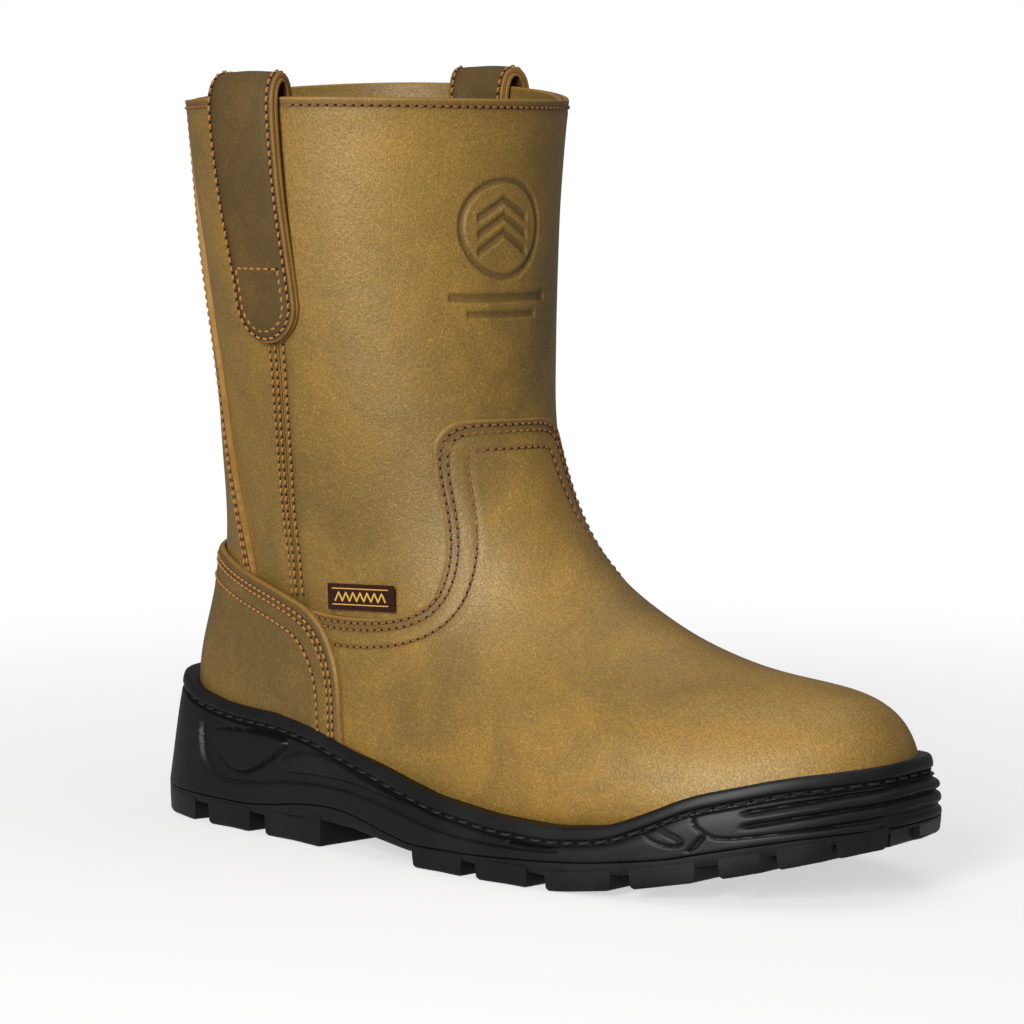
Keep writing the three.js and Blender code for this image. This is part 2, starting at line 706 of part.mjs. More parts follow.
function boxBetween(x0, x1) {
  return Manifold.cube([x1 - x0, 200, 100]).translate([x0 - CENTRE_X, -100, 0]);
}

function makeFiller(x0, x1) {
  const slab = toManifold(slabOnSeat(insetRing(RINGS[0], 3, 4), FILLER[0], FILLER[1]));
  return fromManifold(slab.intersect(boxBetween(x0, x1)));
}

function makeShank() {
  const columns = 10;
  return plateGeometry(columns, 1, (i, j, side) => {
    const x = SHANK_X[0] + ((SHANK_X[1] - SHANK_X[0]) * i) / columns;
    return new THREE.Vector3(x, SHANK_HALF_WIDTH * (j * 2 - 1) - 2, seatHeight(x) + SHANK[side]);
  });
}

function makeBoard() {
  return slabOnSeat(insetRing(RINGS[1], 6, 7), BOARD[0], BOARD[1]);
}

function makeFootbed(faces) {
  const plan = insetRing(RINGS[1], FOOTBED_INSET, FOOTBED_INSET + 1);
  return slabOnSeat(plan, faces[0], faces[1]);
}

// ---------------------------------------------------------------- side label

function makeLabel() {
  const { u, v } = LABEL_LOW;
  const normal = surfaceNormal(u, v);
  const along = surfacePoint(u - 0.05, v + 0.017).sub(surfacePoint(u + 0.05, v - 0.017)).normalize();
  const up = along.clone().cross(normal).normalize();
  if (up.z < 0) up.negate();
  const out = up.clone().cross(along).normalize();
  if (out.dot(normal) < 0) out.negate();
  const low = layerPoint(u, v, LABEL_FACE);
  const points = [];
  for (const a of [-0.5, 0.5]) {
    for (const b of [0, 1]) {
      for (const c of [0, 1]) {
        const p = low.clone().addScaledVector(along, a * LABEL_LENGTH);
        p.addScaledVector(up, b * LABEL_HEIGHT).addScaledVector(out, c * LABEL_THICK);
        points.push(p);
      }
    }
  }
  const faces = [[0, 1, 3, 2], [4, 6, 7, 5], [0, 4, 5, 1], [2, 3, 7, 6], [0, 2, 6, 4], [1, 5, 7, 3]];
  return makeGeometry(points, faces);
}

const group = new THREE.Group();
const TAN = 0x8a6428;
addNode(group, 'vamp', makeVamp(), TAN, 0.55, 0);
addNode(group, 'shaft_front', makeShaftFront(), TAN, 0.55, 0);
addNode(group, 'quarter_lateral', makeQuarter(1), TAN, 0.55, 0);
addNode(group, 'quarter_medial', makeQuarter(-1), TAN, 0.55, 0);
addNode(group, 'backstay', makeBackstay(), TAN, 0.55, 0);
addNode(group, 'counter_cover', makeCounterCover(), TAN, 0.55, 0);
addNode(group, 'heel_counter', makeHeelCounter(), 0x9a8f7a, 0.8, 0);
addNode(group, 'toe_cap', makeToeCap(), 0x9ba0a4, 0.35, 1);
addNode(group, 'toe_cap_edge_strip', makeToeCapStrip(), 0x2b2b2b, 0.8, 0);
addNode(group, 'vamp_lining', makeRing(LINING_ROWS, LINING), 0xa8977a, 0.9, 0);
addNode(group, 'shaft_lining', makeRing(SHAFT_LINING_ROWS, LINING), 0xa8977a, 0.9, 0);
addNode(group, 'topline_facing', makeRing([0.905, 0.955, 1], FACING), 0x9a6f2c, 0.6, 0);
addNode(group, 'strap_backing_lateral', makeStrap(1, STRAP_BACKING), TAN, 0.6, 0);
addNode(group, 'strap_face_lateral', makeStrap(1, STRAP_FACE), TAN, 0.55, 0);
addNode(group, 'strap_backing_medial', makeStrap(-1, STRAP_BACKING), TAN, 0.6, 0);
addNode(group, 'strap_face_medial', makeStrap(-1, STRAP_FACE), TAN, 0.55, 0);
addNode(group, 'midsole', makeMidsole(), 0x17181a, 0.6, 0);
addNode(group, 'sole_thread', makeSoleThread(), 0x0c0c0d, 0.7, 0);
addNode(group, 'outsole', makeOutsole(), 0x141516, 0.7, 0);
addNode(group, 'heel_filler', makeFiller(20, SHANK_X[0] - 1), 0x8c6a45, 0.95, 0);
addNode(group, 'forepart_filler', makeFiller(SHANK_X[1] + 1, 290), 0x8c6a45, 0.95, 0);
addNode(group, 'shank', makeShank(), 0x8d9196, 0.4, 1);
addNode(group, 'insole_board', makeBoard(), 0xb8986a, 0.9, 0);
addNode(group, 'footbed_foam', makeFootbed(FOOTBED_FOAM), 0x2d2f33, 0.9, 0);
addNode(group, 'footbed_cover', makeFootbed(FOOTBED_COVER), 0x4a4d52, 0.95, 0);
addNode(group, 'side_label', makeLabel(), 0x3a1a1c, 0.85, 0);

export default group;
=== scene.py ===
"""Pull-on safety boot, right foot: leather, rubber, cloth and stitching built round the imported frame.

Sizes in the tables are millimetres in the last-maker's frame, where x runs from heel to toe.
"""

import math
import bmesh
import bpy
import numpy as np
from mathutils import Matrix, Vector
from mathutils.kdtree import KDTree


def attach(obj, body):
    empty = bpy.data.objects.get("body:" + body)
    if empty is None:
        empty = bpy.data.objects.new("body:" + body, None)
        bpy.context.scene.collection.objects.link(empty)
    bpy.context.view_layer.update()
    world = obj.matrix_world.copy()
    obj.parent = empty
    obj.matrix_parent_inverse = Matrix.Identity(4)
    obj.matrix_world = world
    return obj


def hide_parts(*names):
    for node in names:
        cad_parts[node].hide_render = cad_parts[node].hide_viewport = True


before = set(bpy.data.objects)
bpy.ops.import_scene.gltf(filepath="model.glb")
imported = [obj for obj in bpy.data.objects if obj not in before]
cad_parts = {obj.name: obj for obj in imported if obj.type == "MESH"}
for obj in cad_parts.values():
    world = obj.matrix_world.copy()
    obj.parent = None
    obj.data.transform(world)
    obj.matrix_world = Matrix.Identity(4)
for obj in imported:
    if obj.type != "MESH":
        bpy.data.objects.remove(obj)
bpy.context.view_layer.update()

bl_info = {
    "name": "Pull-on safety boot",
    "version": (1, 0, 0),
    "blender": (4, 5, 0),
    "location": "View3D > Sidebar > Boot",
    "description": "Builds a pull-on safety boot in leather, rubber and thread",
    "category": "Add Mesh",
}

MM = 0.001
FAR = 30.0  # distances to an edge or seam are recorded up to this
FRAME_SHIFT = np.array([152.45, 0.0, -2.0])

# ---------------------------------------------------------------- last and sole tables

# Rings of the foot-side surface: back x, front x, half widths, heights, end squareness, bend share.
RINGS = [
    (31, 276, [20, 12, 58, 22], [25.4, 15.8, 12, 27], [3.0, 3.0], 1.0),
    (17, 290, [32, 17, 72, 30], [27, 16, 12, 28.5], [3.3, 3.2], 1.0),
    (16, 292.8, [33, 22, 74, 33], [45, 27, 17, 34], [3.3, 3.2], 1.0),
    (17, 291.5, [32, 28, 68, 32], [60, 41, 28, 47], [3.2, 3.0], 1.0),
    (21, 282, [30, 38, 53, 29], [76, 58, 42, 59], [3.0, 2.6], 0.9),
    (24, 240, [30, 41, 39, 22], [94, 77, 58, 61.5], [2.7, 2.2], 0.7),
    (25, 197, [35, 45, 35, 24], [114, 97, 80, 77], [2.3, 2.1], 0.4),
    (26, 162.5, [42, 47, 42, 32], [136, 120, 109, 102], [2.1, 2.0], 0.2),
    (28.3, 147, [50, 53, 53, 50], [162, 154, 150, 144], [2.0, 2.0], 0.0),
    (26.3, 146, [57, 58, 58, 57], [192, 188, 188, 186], [2.0, 2.0], 0.0),
    (22.2, 146, [61, 62, 62, 61], [224, 222, 222, 224], [2.0, 2.0], 0.0),
    (17.8, 149, [64, 65, 65, 64], [255, 256, 256, 255], [2.0, 2.0], 0.0),
]
FOOT_BEND = [0, -6, 2, 8]
SOLE_PLAN = (2.5, 302.5, [42.5, 30, 89, 37], [0, 0, 0, 0], [3.6, 3.3], 1.0)
RIM_HEIGHT = [
    (-10, 52.5), (8, 49), (24, 44.5), (45, 42), (70, 41.5), (88, 39), (100, 36), (118, 31.5), (135, 27),
    (151, 23), (177, 19.8), (201, 18.8), (222, 21), (237, 27), (250, 33), (277, 39.6), (310, 44.2),
]
PARTING_HEIGHT = [
    (-10, 8.6), (20, 8.2), (57, 8.1), (70, 9.5), (83, 11.6), (98, 13), (108, 12.6), (116.6, 11.2),
    (130, 8), (142, 5.8), (168, 6.1), (199, 7.7), (215, 8.9), (230, 10.7), (243.7, 12.6),
    (253, 14.9), (268, 18.2), (282, 21), (295, 22.9), (310, 24.5),
]
CORE_HEIGHT = [
    (-10, 8.4), (57, 8), (83, 8.8), (98, 9.2), (116, 8.4), (130, 7), (142, 5.4), (168, 5.8),
    (199, 7.4), (230, 10), (253, 12.9), (268, 15), (282, 18), (295, 20.5), (310, 22.5),
]
GROUND = -2.0
HEEL_FLARE, TOE_FLARE = 3.8, 1.6

# The topline stands a little higher on the far side, from this turn round the shaft onward.
FAR_SIDE_RISE, FAR_SIDE_FROM = 7.0, 0.6

# Faces of the stacked layers, measured outward from the ring surface.
LINING = (-1.9, -0.4)
FACING = (-2.0, 0.15)
INNER = (0.3, 2.2)
MIDDLE = (2.4, 4.6)
COVER = (4.8, 6.9)
BACKSTAY = (2.25, 4.3)
BACKSTAY_LOW, BACKSTAY_HIGH = 0.436, 0.998

SIDE_SEAM = [(0.03, 0.67), (0.3, 0.67), (0.475, 0.656), (0.6, 0.589), (0.68, 0.536), (0.73, 0.51),
             (0.77, 0.495), (1, 0.49)]
BACKSTAY_EDGE = [(0.43, 0.755), (0.54, 0.75), (0.64, 0.74), (0.71, 0.735), (0.77, 0.745),
                 (0.85, 0.78), (0.92, 0.82), (1, 0.84)]
VAMP_EDGE = [
    (-0.662, 0.452, -0.662), (-0.59, 0.463, -0.60), (-0.5, 0.48, -0.53), (-0.41, 0.503, -0.46),
    (-0.32, 0.54, -0.39), (-0.24, 0.575, -0.32), (-0.18, 0.61, -0.25), (-0.14, 0.65, -0.19),
    (-0.115, 0.69, -0.14), (-0.09, 0.722, -0.095), (-0.03, 0.731, -0.04), (0.04, 0.732, 0.02),
    (0.12, 0.732, 0.08), (0.19, 0.729, 0.13), (0.235, 0.715, 0.17), (0.255, 0.69, 0.21),
    (0.275, 0.655, 0.25), (0.31, 0.618, 0.29), (0.36, 0.58, 0.34), (0.415, 0.54, 0.39),
    (0.48, 0.505, 0.45), (0.55, 0.477, 0.52), (0.61, 0.46, 0.59), (0.662, 0.452, 0.662),
]
SHAFT_FRONT_EDGE = [
    (-0.68, 0.425), (-0.5, 0.445), (-0.4, 0.47), (-0.31, 0.51), (-0.23, 0.55), (-0.17, 0.59),
    (-0.1, 0.66), (-0.05, 0.69), (0.05, 0.698), (0.15, 0.698), (0.2, 0.67), (0.25, 0.61),
    (0.3, 0.575), (0.36, 0.54), (0.42, 0.495), (0.5, 0.46), (0.6, 0.43), (0.68, 0.425),
]
COVER_EDGE = [
    (0.618, 0.40), (0.621, 0.435), (0.634, 0.458), (0.665, 0.466), (0.71, 0.468), (0.78, 0.466),
    (0.85, 0.466), (0.93, 0.465), (1, 0.465),
]

# Half the gap between panels at the side seam, as a turn round the shaft.
SEAM_GAP = 0.0015

# Pull strap: path of its underside as (distance from ring surface, height), heel-side end first.
STRAP_CENTRE_U = 0.507
STRAP_HALF_U = 0.068
STRAP_HALF = 14.0
STRAP_PATH = [
    (2.6, 173), (2.6, 177), (2.6, 182), (2.6, 187), (2.6, 194), (3.3, 207), (4.2, 222), (4.6, 238),
    (4.5, 250), (3.6, 257), (1.8, 260.2), (-0.6, 260.8), (-2.6, 258.8), (-3.6, 254), (-3.2, 246),
    (-2.8, 236), (-2.8, 224), (-2.8, 212),
]
STRAP_BACKING = (0.0, 1.35)
STRAP_FACE = (1.45, 3.3)


# ---------------------------------------------------------------- surface of the last


def bernstein(c, t):
    s = 1 - t
    return c[0] * s**3 + 3 * c[1] * t * s * s + 3 * c[2] * t * t * s + c[3] * t**3


def ring_point(ring, u):
    back, front, width, height, power, bend = ring
    cosine = np.cos(np.pi * np.abs(u))
    along = (1 + cosine) / 2
    n = power[0] + (power[1] - power[0]) * along
    end = np.maximum(0, 1 - np.abs(cosine) ** n) ** (1 / n)
    side = np.where(u < 0, 1.0, -1.0)
    y = side * bernstein(width, along) * end + bend * bernstein(FOOT_BEND, along)
    return np.stack([back + (front - back) * along, y, bernstein(height, along)], -1)


def last_point(u, v):
    """Point on the ring stack: u round the foot (0 toe, 1 heel, lateral above 0), v up to the topline."""
    u, v = np.broadcast_arrays(np.asarray(u, float), np.asarray(v, float))
    u = (u + 1) % 2 - 1
    rings = [ring_point(r, u) for r in RINGS]
    rings = [2 * rings[0] - rings[1]] + rings + [2 * rings[-1] - rings[-2]]
    controls = np.stack(rings)
    t = np.clip(v, 0, 1) * (len(RINGS) - 1)
    i = np.minimum(t.astype(int), len(RINGS) - 2)
    f = (t - i)[..., None]
    weights = [
        (1 - f) ** 3 / 6,
        (3 * f**3 - 6 * f * f + 4) / 6,
        (-3 * f**3 + 3 * f * f + 3 * f + 1) / 6,
        f**3 / 6,
    ]
    total = 0
    for k, weight in enumerate(weights):
        picked = np.take_along_axis(controls, (i + k)[None, ..., None], 0)[0]
        total = total + weight * picked
    far = np.sin(np.arctan2(total[..., 1], total[..., 0] - 84) - FAR_SIDE_FROM)
    total[..., 2] += FAR_SIDE_RISE * np.clip(far, 0, 1) * smooth_step(0.8, 1, v)
    return total


def unit(a):
    return a / np.maximum(np.linalg.norm(a, axis=-1, keepdims=True), 1e-12)


def last_normal(u, v, h=0.002):
    across = last_point(u + h, v) - last_point(u - h, v)
    up = last_point(u, np.minimum(v + h, 1)) - last_point(u, np.maximum(v - h, 0))
    return unit(np.cross(up, across))


def to_frame(points):
    return (points - FRAME_SHIFT) * MM


def on_last(u, v, offset):
    """Point a distance in millimetres outside the last surface, still in millimetres."""
    u, v = np.asarray(u, float), np.asarray(v, float)
    return last_point(u, v) + last_normal(u, v) * np.asarray(offset)[..., None]


def table(rows, at):
    rows = np.asarray(rows, float)
    return np.interp(at, rows[:, 0], rows[:, 1])


def soft_table(rows, at, reach):
    """Table reading averaged over a short reach, so that its corners are rounded."""
    return sum(table(rows, at + reach * k) for k in np.linspace(-1, 1, 9)) / 9


def curve(rows, t):
    """Smooth walk through rows of numbers, t from 0 to 1."""
    rows = np.asarray(rows, float)
    last = len(rows) - 1
    at = np.clip(np.asarray(t, float), 0, 1) * last
    i = np.minimum(at.astype(int), last - 1)
    f = (at - i)[..., None]
    a, b = rows[np.maximum(i - 1, 0)], rows[i]
    c, d = rows[i + 1], rows[np.minimum(i + 2, last)]
    slope_b, slope_c = (c - a) / 2, (d - b) / 2
    cubic = 2 * b - 2 * c + slope_b + slope_c
    square = -3 * b + 3 * c - 2 * slope_b - slope_c
    return ((cubic * f + square) * f + slope_b) * f + b


def smooth_step(low, high, x):
    t = np.clip((np.asarray(x, float) - low) / (high - low), 0, 1)
    return t * t * (3 - 2 * t)


# ---------------------------------------------------------------- paths on the last


def arc_lengths(points):
    steps = np.linalg.norm(np.diff(points, axis=0), axis=1)
    return np.concatenate([[0], np.cumsum(steps)])


def resample(path, offset, step):
    """The (u, v) path with its points an even step in millimetres apart."""
    lengths = arc_lengths(on_last(path[:, 0], path[:, 1], offset))
    count = max(int(lengths[-1] / step), 2)
    at = np.linspace(0, lengths[-1], count + 1)
    return np.stack([np.interp(at, lengths, path[:, k]) for k in (0, 1)], -1)


def inset(path, distance, offset, steps=4):
    """The (u, v) path moved sideways across the leather; positive is to its right seen from outside."""
    h = 0.001
    for _ in range(steps):
        path = resample(path, offset, 1.5)
        u, v = path[:, 0], path[:, 1]
        points = last_point(u, v)
        normal = last_normal(u, v)
        run = unit(np.gradient(points, axis=0))
        side = np.cross(run, normal)
        du = (last_point(u + h, v) - last_point(u - h, v)) / (2 * h)
        rise = (h + np.minimum(h, 1 - v))[:, None]
        dv = (last_point(u, np.minimum(v + h, 1)) - last_point(u, v - h)) / rise
        uu, uv, vv = (du * du).sum(1), (du * dv).sum(1), (dv * dv).sum(1)
        su, sv = (side * du).sum(1), (side * dv).sum(1)
        det = uu * vv - uv * uv
        move = np.stack([(su * vv - sv * uv) / det, (sv * uu - su * uv) / det], -1)
        path = path + move * distance / steps
        path[1:-1] = 0.25 * path[:-2] + 0.5 * path[1:-1] + 0.25 * path[2:]
        path[:, 1] = np.clip(path[:, 1], 0.02, 1)
    return path


def crop(path, keep):
    """The longest run of points for which keep is true."""
    runs, start = [], None
    for i, good in enumerate(list(keep) + [False]):
        if good and start is None:
            start = i
        if not good and start is not None:
            runs.append((i - start, start, i))
            start = None
    _, first, stop = max(runs)
    return path[first:stop]


def vamp_top():
    return curve(VAMP_EDGE, np.linspace(0, 1, 400))[:, :2]


def cover_top():
    """Edge of the heel cover from its lateral front foot, over the heel, to its medial front foot."""
    half = curve(COVER_EDGE, np.linspace(0, 1, 300))
    foot = np.stack([np.full(40, half[0, 0]), np.linspace(0.11, half[0, 1], 40, endpoint=False)], -1)
    lateral = np.concatenate([foot, half])
    medial = lateral[-2::-1].copy()
    medial[:, 0] = 2 - medial[:, 0]
    return np.concatenate([lateral, medial])


def rounded_edge(rows, v):
    """u of a panel edge at heights v, with the corners of its table rounded."""
    return soft_table(rows, v, 0.03)


def seam_path(side, low, high):
    v = np.linspace(low, high, 200)
    return np.stack([side * rounded_edge(SIDE_SEAM, v), v], -1)


def backstay_path(side, low=BACKSTAY_LOW, high=BACKSTAY_HIGH):
    v = np.linspace(low, high, 200)
    return np.stack([side * rounded_edge(BACKSTAY_EDGE, v), v], -1)


# ---------------------------------------------------------------- mesh making


def new_object(name, points, faces, attributes=None):
    """Mesh object from points in metres; its faces are turned outward."""
    mesh = bpy.data.meshes.new(name)
    mesh.from_pydata(np.asarray(points, float).tolist(), [], [tuple(int(i) for i in f) for f in faces])
    turned = bmesh.new()
    turned.from_mesh(mesh)
    bmesh.ops.recalc_face_normals(turned, faces=turned.faces)
    turned.to_mesh(mesh)
    turned.free()
    for label, values in (attributes or {}).items():
        layer = mesh.attributes.new(label, "FLOAT", "POINT")
        layer.data.foreach_set("value", np.asarray(values, np.float32).ravel())
    mesh.shade_smooth()
    mesh.set_sharp_from_angle(angle=math.radians(48))
    mesh.update()
    obj = bpy.data.objects.new(name, mesh)
    bpy.context.scene.collection.objects.link(obj)
    return obj


def grid_faces(columns, rows, wrapped=False, start=0):
    """Quads of a grid whose point (i, j) is number start + i * rows + j."""
    i = np.arange(columns if wrapped else columns - 1)[:, None]
    j = np.arange(rows - 1)[None, :]
    a = start + i * rows + j
    b = start + ((i + 1) % columns) * rows + j
    return np.stack([a, a + 1, b + 1, b], -1).reshape(-1, 4)


def shell(name, outer, inner, wrapped=False, attributes=None):
    """Closed sheet between two grids of points in millimetres, both (columns, rows, 3)."""
    columns, rows = outer.shape[:2]
    count = columns * rows
    points = to_frame(np.concatenate([outer.reshape(-1, 3), inner.reshape(-1, 3)]))
    top = grid_faces(columns, rows, wrapped)
    faces = [top, (top + count)[:, ::-1]]
    if wrapped:
        low = np.arange(columns) * rows
        for rim, sign in ((low, 1), (low + rows - 1, -1)):
            nxt = np.roll(rim, -1)
            wall = np.stack([rim, nxt, nxt + count, rim + count], -1)
            faces.append(wall[:, ::sign])
    else:
        i = np.arange(columns - 1) * rows
        low = np.stack([i, i + rows, i + rows + count, i + count], -1)
        high = np.stack([i, i + count, i + rows + count, i + rows], -1) + rows - 1
        j = np.arange(rows - 1)
        left = np.stack([j, j + count, j + 1 + count, j + 1], -1)
        end = (columns - 1) * rows
        right = np.stack([j, j + 1, j + 1 + count, j + count], -1) + end
        faces += [low, high, left, right]
    twice = {k: np.concatenate([np.ravel(a), np.ravel(a)]) for k, a in (attributes or {}).items()}
    return new_object(name, points, [tuple(f) for f in np.concatenate(faces).tolist()], twice)


def spread(length, step, roll):
    """Fractions of a line length mm long: close together at its rolled ends, then an even step."""
    count = max(int(round((length - 2 * roll) / step)), 2)
    near = np.array([0, 0.08, 0.3, 0.62]) * roll
    middle = np.linspace(roll, length - roll, count + 1)
    return np.concatenate([near, middle, (length - near)[::-1]]) / length


def distance_to(points, paths):
    """Distance in millimetres from each point to the nearest of the paths' points."""
    spots = np.concatenate(paths)
    tree = KDTree(len(spots))
    for i, spot in enumerate(spots):
        tree.insert(Vector(spot), i)
    tree.balance()
    flat = points.reshape(-1, 3)
    return np.array([tree.find(Vector(p))[2] for p in flat]).reshape(points.shape[:-1])


def ripple(p):
    """Slow unevenness of a lasted hide, in millimetres."""
    x, y, z = p[..., 0], p[..., 1], p[..., 2]
    slow = np.sin(x / 17 + 1.3 * np.sin(z / 23)) * np.sin(z / 14 + y / 19)
    quick = np.sin(x / 7.1 - z / 9.3 + 2 * np.sin(y / 11))
    return 0.2 * slow + 0.07 * quick


def edge_drop(distance, roll, drop):
    t = np.clip(1 - distance / roll, 0, 1)
    return drop * (1 - np.sqrt(1 - t * t))


def lines_on_last(paths, step, offset):
    """The (u, v) paths as lines of points, a given distance outside the last."""
    even = [resample(path, 2.0, step) for path in paths]
    return [on_last(path[:, 0], path[:, 1], offset) for path in even]


def leather_panel(name, place, fractions, layer, raw_edges, grooves, roll=1.1, drop=0.9, relief=None):
    """One hide panel. place(s, t) gives (u, v); raw_edges and grooves are (u, v) paths."""
    s, t = fractions
    u, v = place(s[:, None], t[None, :])
    u, v = np.broadcast_arrays(u, v)
    low, high = layer(v) if callable(layer) else layer
    skin = high if np.isscalar(high) else INNER[1]
    base = last_point(u, v)
    normal = last_normal(u, v)
    top = base + normal * np.broadcast_to(high, u.shape)[..., None]
    edge = distance_to(top, lines_on_last(raw_edges, 0.5, skin))
    height = np.broadcast_to(high, u.shape) - edge_drop(edge, roll, drop)
    height = height + ripple(base) * np.clip(edge / 12, 0, 1)
    seam = distance_to(top, lines_on_last(grooves, 0.6, skin))
    height = height - 0.22 * np.exp(-((seam / 0.9) ** 2)) + 0.12 * np.exp(-(((seam - 2.4) / 1.3) ** 2))
    mark = np.zeros(u.shape)
    if relief is not None:
        mark = relief(u, v)
        height = height + mark
    outer = base + normal * height[..., None]
    inner = base + normal * np.broadcast_to(low, u.shape)[..., None]
    worn = {"edge": np.clip(edge, 0, FAR), "seam": np.clip(seam, 0, FAR), "mark": -mark}
    return shell(name, outer, inner, attributes=worn)


# ---------------------------------------------------------------- thread


def frames_along(points, normals):
    run = unit(np.gradient(points, axis=0))
    side = unit(np.cross(run, normals))
    return run, side, unit(np.cross(side, run))


THREAD_STATIONS, THREAD_SIDES, HOLE_SIDES = 7, 6, 8


def thread_loop(centre, side, up, swell, start):
    """Closed tube round a line of centres; start is the number of its first point."""
    turn = 2 * np.pi * np.arange(THREAD_SIDES) / THREAD_SIDES
    ring = centre[:, None] + swell[:, None, None] * (
        side[:, None] * np.cos(turn)[None, :, None] + up[:, None] * np.sin(turn)[None, :, None])
    i, j = np.arange(THREAD_STATIONS - 1)[:, None], np.arange(THREAD_SIDES)[None, :]
    a, b = start + i * THREAD_SIDES + j, start + i * THREAD_SIDES + (j + 1) % THREAD_SIDES
    faces = np.stack([a, b, b + THREAD_SIDES, a + THREAD_SIDES], -1).reshape(-1, 4).tolist()
    faces.append([start + q for q in reversed(range(THREAD_SIDES))])
    faces.append([start + (THREAD_STATIONS - 1) * THREAD_SIDES + q for q in range(THREAD_SIDES)])
    return ring.reshape(-1, 3), faces


def needle_hole(spot, run, side, up, radius, start):
    """Shallow dark plug, painted shade that shows as a needle hole; start is the number of its first point.
    """
    turn = 2 * np.pi * np.arange(HOLE_SIDES) / HOLE_SIDES
    rim = run * np.cos(turn)[:, None] * radius * 1.25 + side * np.sin(turn)[:, None] * radius * 1.05
    points = np.concatenate([spot + rim + up * 0.03, spot + rim - up * 0.25, [spot + up * 0.06]])
    faces = []
    for q in range(HOLE_SIDES):
        w = (q + 1) % HOLE_SIDES
        faces.append([start + q, start + w, start + 2 * HOLE_SIDES])
        faces.append([start + q, start + HOLE_SIDES + q, start + HOLE_SIDES + w, start + w])
    faces.append([start + HOLE_SIDES + q for q in reversed(range(HOLE_SIDES))])
    return points, faces


def stitch_run(points, normals, pitch, length, radius, rise, sink, slant=0.12):
    """Thread loops and needle holes along a line of points in millimetres, as separate closed bodies."""
    lengths = arc_lengths(points)
    count = max(int(round(lengths[-1] / pitch)), 1)
    pitch = lengths[-1] / count
    run, side, up = frames_along(points, normals)
    f = np.linspace(-1, 1, THREAD_STATIONS)
    lift = rise * (1 - f**4) - sink * f**8
    swell = radius * (0.62 + 0.38 * (1 - f**2))
    verts, faces, holes, hole_faces = [], [], [], []

    def at(d, field):
        return np.stack([np.interp(d, lengths, field[:, k]) for k in range(3)], -1)

    for k in range(count):
        d = np.clip((k + 0.5) * pitch + f * length / 2, 0, lengths[-1])
        p, s, n = at(d, points), unit(at(d, side)), unit(at(d, up))
        centre = p + n * lift[:, None] + s * (f * slant)[:, None]
        loop, loop_faces = thread_loop(centre, s, n, swell, k * THREAD_STATIONS * THREAD_SIDES)
        verts.append(loop)
        faces += loop_faces
        spot = k * pitch
        p, r, s, n = at(spot, points), unit(at(spot, run)), unit(at(spot, side)), unit(at(spot, up))
        hole, new_faces = needle_hole(p, r, s, n, radius, k * (2 * HOLE_SIDES + 1))
        holes.append(hole)
        hole_faces += new_faces
    return np.concatenate(verts), faces, np.concatenate(holes), hole_faces


def thread_object(name, runs, materials, **sizes):
    """One object for all the given (points, normals) rows: thread first, needle holes second."""
    verts, faces, marks = [], [], []
    total = 0
    for points, normals in runs:
        thread, thread_faces, holes, hole_faces = stitch_run(points, normals, **sizes)
        for block, block_faces, mark in ((thread, thread_faces, 0), (holes, hole_faces, 1)):
            verts.append(block)
            faces += [[i + total for i in f] for f in block_faces]
            marks += [mark] * len(block_faces)
            total += len(block)
    obj = new_object(name, to_frame(np.concatenate(verts)), [tuple(f) for f in faces])
    for material in materials:
        obj.data.materials.append(material)
    obj.data.polygons.foreach_set("material_index", marks)
    return obj


def row_on_last(path, offset):
    path = resample(path, offset, 0.8)
    return on_last(path[:, 0], path[:, 1], offset), last_normal(path[:, 0], path[:, 1])


UPPER_STITCH = dict(length=2.15, rise=0.24, sink=0.5)
SOLE_STITCH = dict(length=4.7, radius=0.62, rise=0.15, sink=0.9, slant=0.0)

VAMP_ROWS = (2.0, 4.4, 10.4)
COVER_ROWS = (3.3, 5.5, 11.5)


def vamp_rows():
    """Three rows inside the vamp's top edge; the first two run close together."""
    rows = []
    for distance in VAMP_ROWS:
        path = inset(vamp_top(), -distance, 4.6, steps=14)
        rows.append(crop(path, np.abs(path[:, 0]) < 0.655))
    return rows


def cover_rows():
    rows = []
    for distance in COVER_ROWS:
        path = inset(cover_top(), -distance, 6.9, steps=14)
        rows.append(crop(path, path[:, 1] > 0.17))
    return rows


def seam_rows(side):
    """Rows either side of the side seam: two on the back quarter, one on the shaft front."""
    path = seam_path(side, 0.47, 0.9)
    return [inset(path, side * d, 2.2, steps=2) for d in (1.9, -1.7, -4.1)]


def backstay_rows(side):
    path = backstay_path(side, 0.465, 0.985)
    return [inset(path, side * d, 4.6, steps=2) for d in (-1.9, -4.3)]


def topline_row():
    u = np.linspace(-1, 1, 900)
    return inset(np.stack([u, np.ones_like(u)], -1), -2.6, 2.2, steps=2)


# ---------------------------------------------------------------- straps


def strap_tables():
    path = curve(STRAP_PATH, np.linspace(0, 1, 400))
    lengths = arc_lengths(path)
    return path, lengths, unit(np.gradient(path, axis=0))


STRAP_LINE, STRAP_RUN, STRAP_WAY = strap_tables()
STRAP_LENGTH = STRAP_RUN[-1]


def shaft_point(u, z, offset):
    """Point beside the shaft at a given height; above the topline it goes straight up."""
    low, high = np.full(np.shape(u), 0.6), np.ones(np.shape(u))
    for _ in range(20):
        middle = (low + high) / 2
        below = last_point(u, middle)[..., 2] < z
        low, high = np.where(below, middle, low), np.where(below, high, middle)
    point = on_last(u, low, offset)
    over = z > last_point(u, np.ones(np.shape(u)))[..., 2]
    point[..., 2] = np.where(over, z, point[..., 2])
    return point


